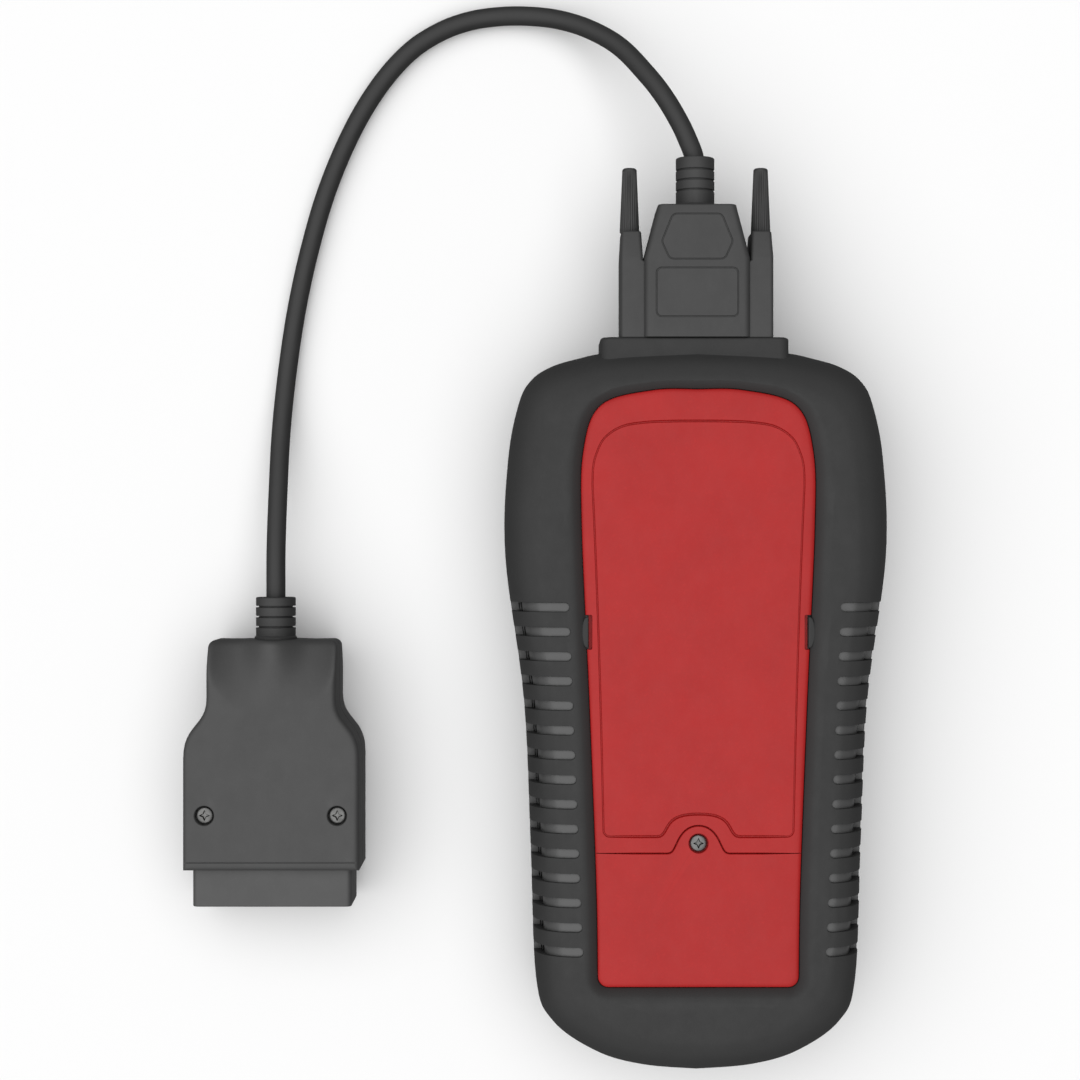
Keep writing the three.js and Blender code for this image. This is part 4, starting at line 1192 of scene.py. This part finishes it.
def make_nose():
    """The plug's nose: an open tube with a low flange where it leaves the shell."""
    half_width, half_height = NOSE_HALF

    def section(grow):
        return rectangle(half_width + grow, half_height + grow, max(1.5 + grow, 0.4), PLUG_X, PLUG_Z)

    tube = pillow_along_y("nose", section(0), NOSE_FOOT, -34, 0.35, 3)
    flange = pillow_along_y("flange", section(0.35), -40.7, -38.9, 0.2, 2)
    stations = [(NOSE_FOOT - 1, 0.3), (NOSE_FOOT, 0.05), (NOSE_FOOT + 0.4, -0.2), (-33, -0.2)]
    mouth = skin("mouth", [lying(grown(section(-1.4), grow), y) for y, grow in stations])
    dress(cut(unite(tube, flange), mouth), "cable", "nose_plastic", "plug_nose")


def make_pins():
    """The black pin carrier with its tongue, and two rows of eight tapered blades."""
    half_width, half_height = NOSE_HALF
    base = rectangle(half_width - 2, half_height - 2, 0.8, PLUG_X, PLUG_Z)
    tongue = rectangle(half_width - 4.5, 1.4, 0.5, PLUG_X, PLUG_Z)
    carrier = unite(
        pillow_along_y("pin_carrier", base, -39, -34.5, 0.3, 2),
        pillow_along_y("tongue", tongue, -48, -38, 0.4, 3),
    )
    dress(carrier, "cable", "black_plastic")
    stations = [(-50.5, 0.35, 0.15), (-49.4, 0.75, 0.4), (-38, 0.75, 0.4)]
    blades = []
    for z in around(PLUG_Z, 4.2):
        for i in range(8):
            x = PLUG_X + (i - 3.5) * 4
            rings = [lying(oblong(around(x, wide), around(z, thick)), y) for y, wide, thick in stations]
            blades.append(skin("blade", rings))
    dress(together("pin_blades", blades), "cable", "contact_brass", "plug_pins")


# ---------- CAD nodes that stay, with their looks ----------

KEPT = {
    "black_plastic": [
        "battery_snap", "processor_chip", "memory_chip", "bus_transceiver_chip", "buzzer", "port_pins",
        "cable_plug_sockets",
    ],
    "connector_steel": ["port_shell", "jack_nut_left", "jack_nut_right", "cable_plug_shell"],
    "screw_steel": [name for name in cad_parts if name.startswith(("case_screw", "board_screw"))],
    "key_rubber": ["keypad_membrane"],
    "window_plastic": ["lcd_window"],
    "display": ["lcd_module"],
    "circuit_board": ["main_board"],
}


def paint_kept_nodes():
    for look, names in KEPT.items():
        for name in names:
            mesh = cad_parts[name].data
            mesh.materials.clear()
            mesh.materials.append(LOOKS[look])


def make_floor():
    """A plain pale floor that neither lights the device's dark sides nor shows in them."""
    reach = around(0, FLOOR_HALF)
    floor = new_mesh("floor", standing(oblong(reach, reach), FLOOR_Z), [[0, 1, 2, 3]])
    paint = Look("floor_paint")
    paint.surface(Base_Color=tint(grey(0.84)), Roughness=0.9, Specular_IOR_Level=0.2)
    floor.data.materials.append(paint.material)
    floor.visible_diffuse = False
    floor.visible_glossy = False


def build():
    make_camera()
    make_light()
    make_floor()
    cord = make_cord()
    make_boot()
    make_clips()
    make_panel()
    make_door()
    make_screw("door_cross_screw", "door_screw", "door_screw")
    make_back_housing()
    make_front_housing()
    for node in key_nodes():
        make_key(node)
    make_battery()
    make_hood()
    for name, side in SIDES:
        make_thumbscrew(f"thumbscrew_{name}", side)
    hood_ends = (HOOD_HEAD + GAP, RELIEF_HEAD)
    plug_ends = (PLUG_HEAD + GAP, PLUG_RELIEF_HEAD)
    make_relief("hood", (0, PORT_Z), hood_ends, RELIEF_GROOVES, 4.9, 0.5, 118)
    make_relief("plug", (PLUG_X, PLUG_Z), plug_ends, PLUG_RELIEF_GROOVES, 5.1, 0.75, 9)
    plug_half("plug_shell_upper", 1)
    plug_half("plug_shell_lower", -1)
    make_nose()
    make_pins()
    for name, _ in SIDES:
        make_screw(f"plug_cross_screw_{name}", f"plug_screw_{name}", "cable")
    paint_kept_nodes()


build()
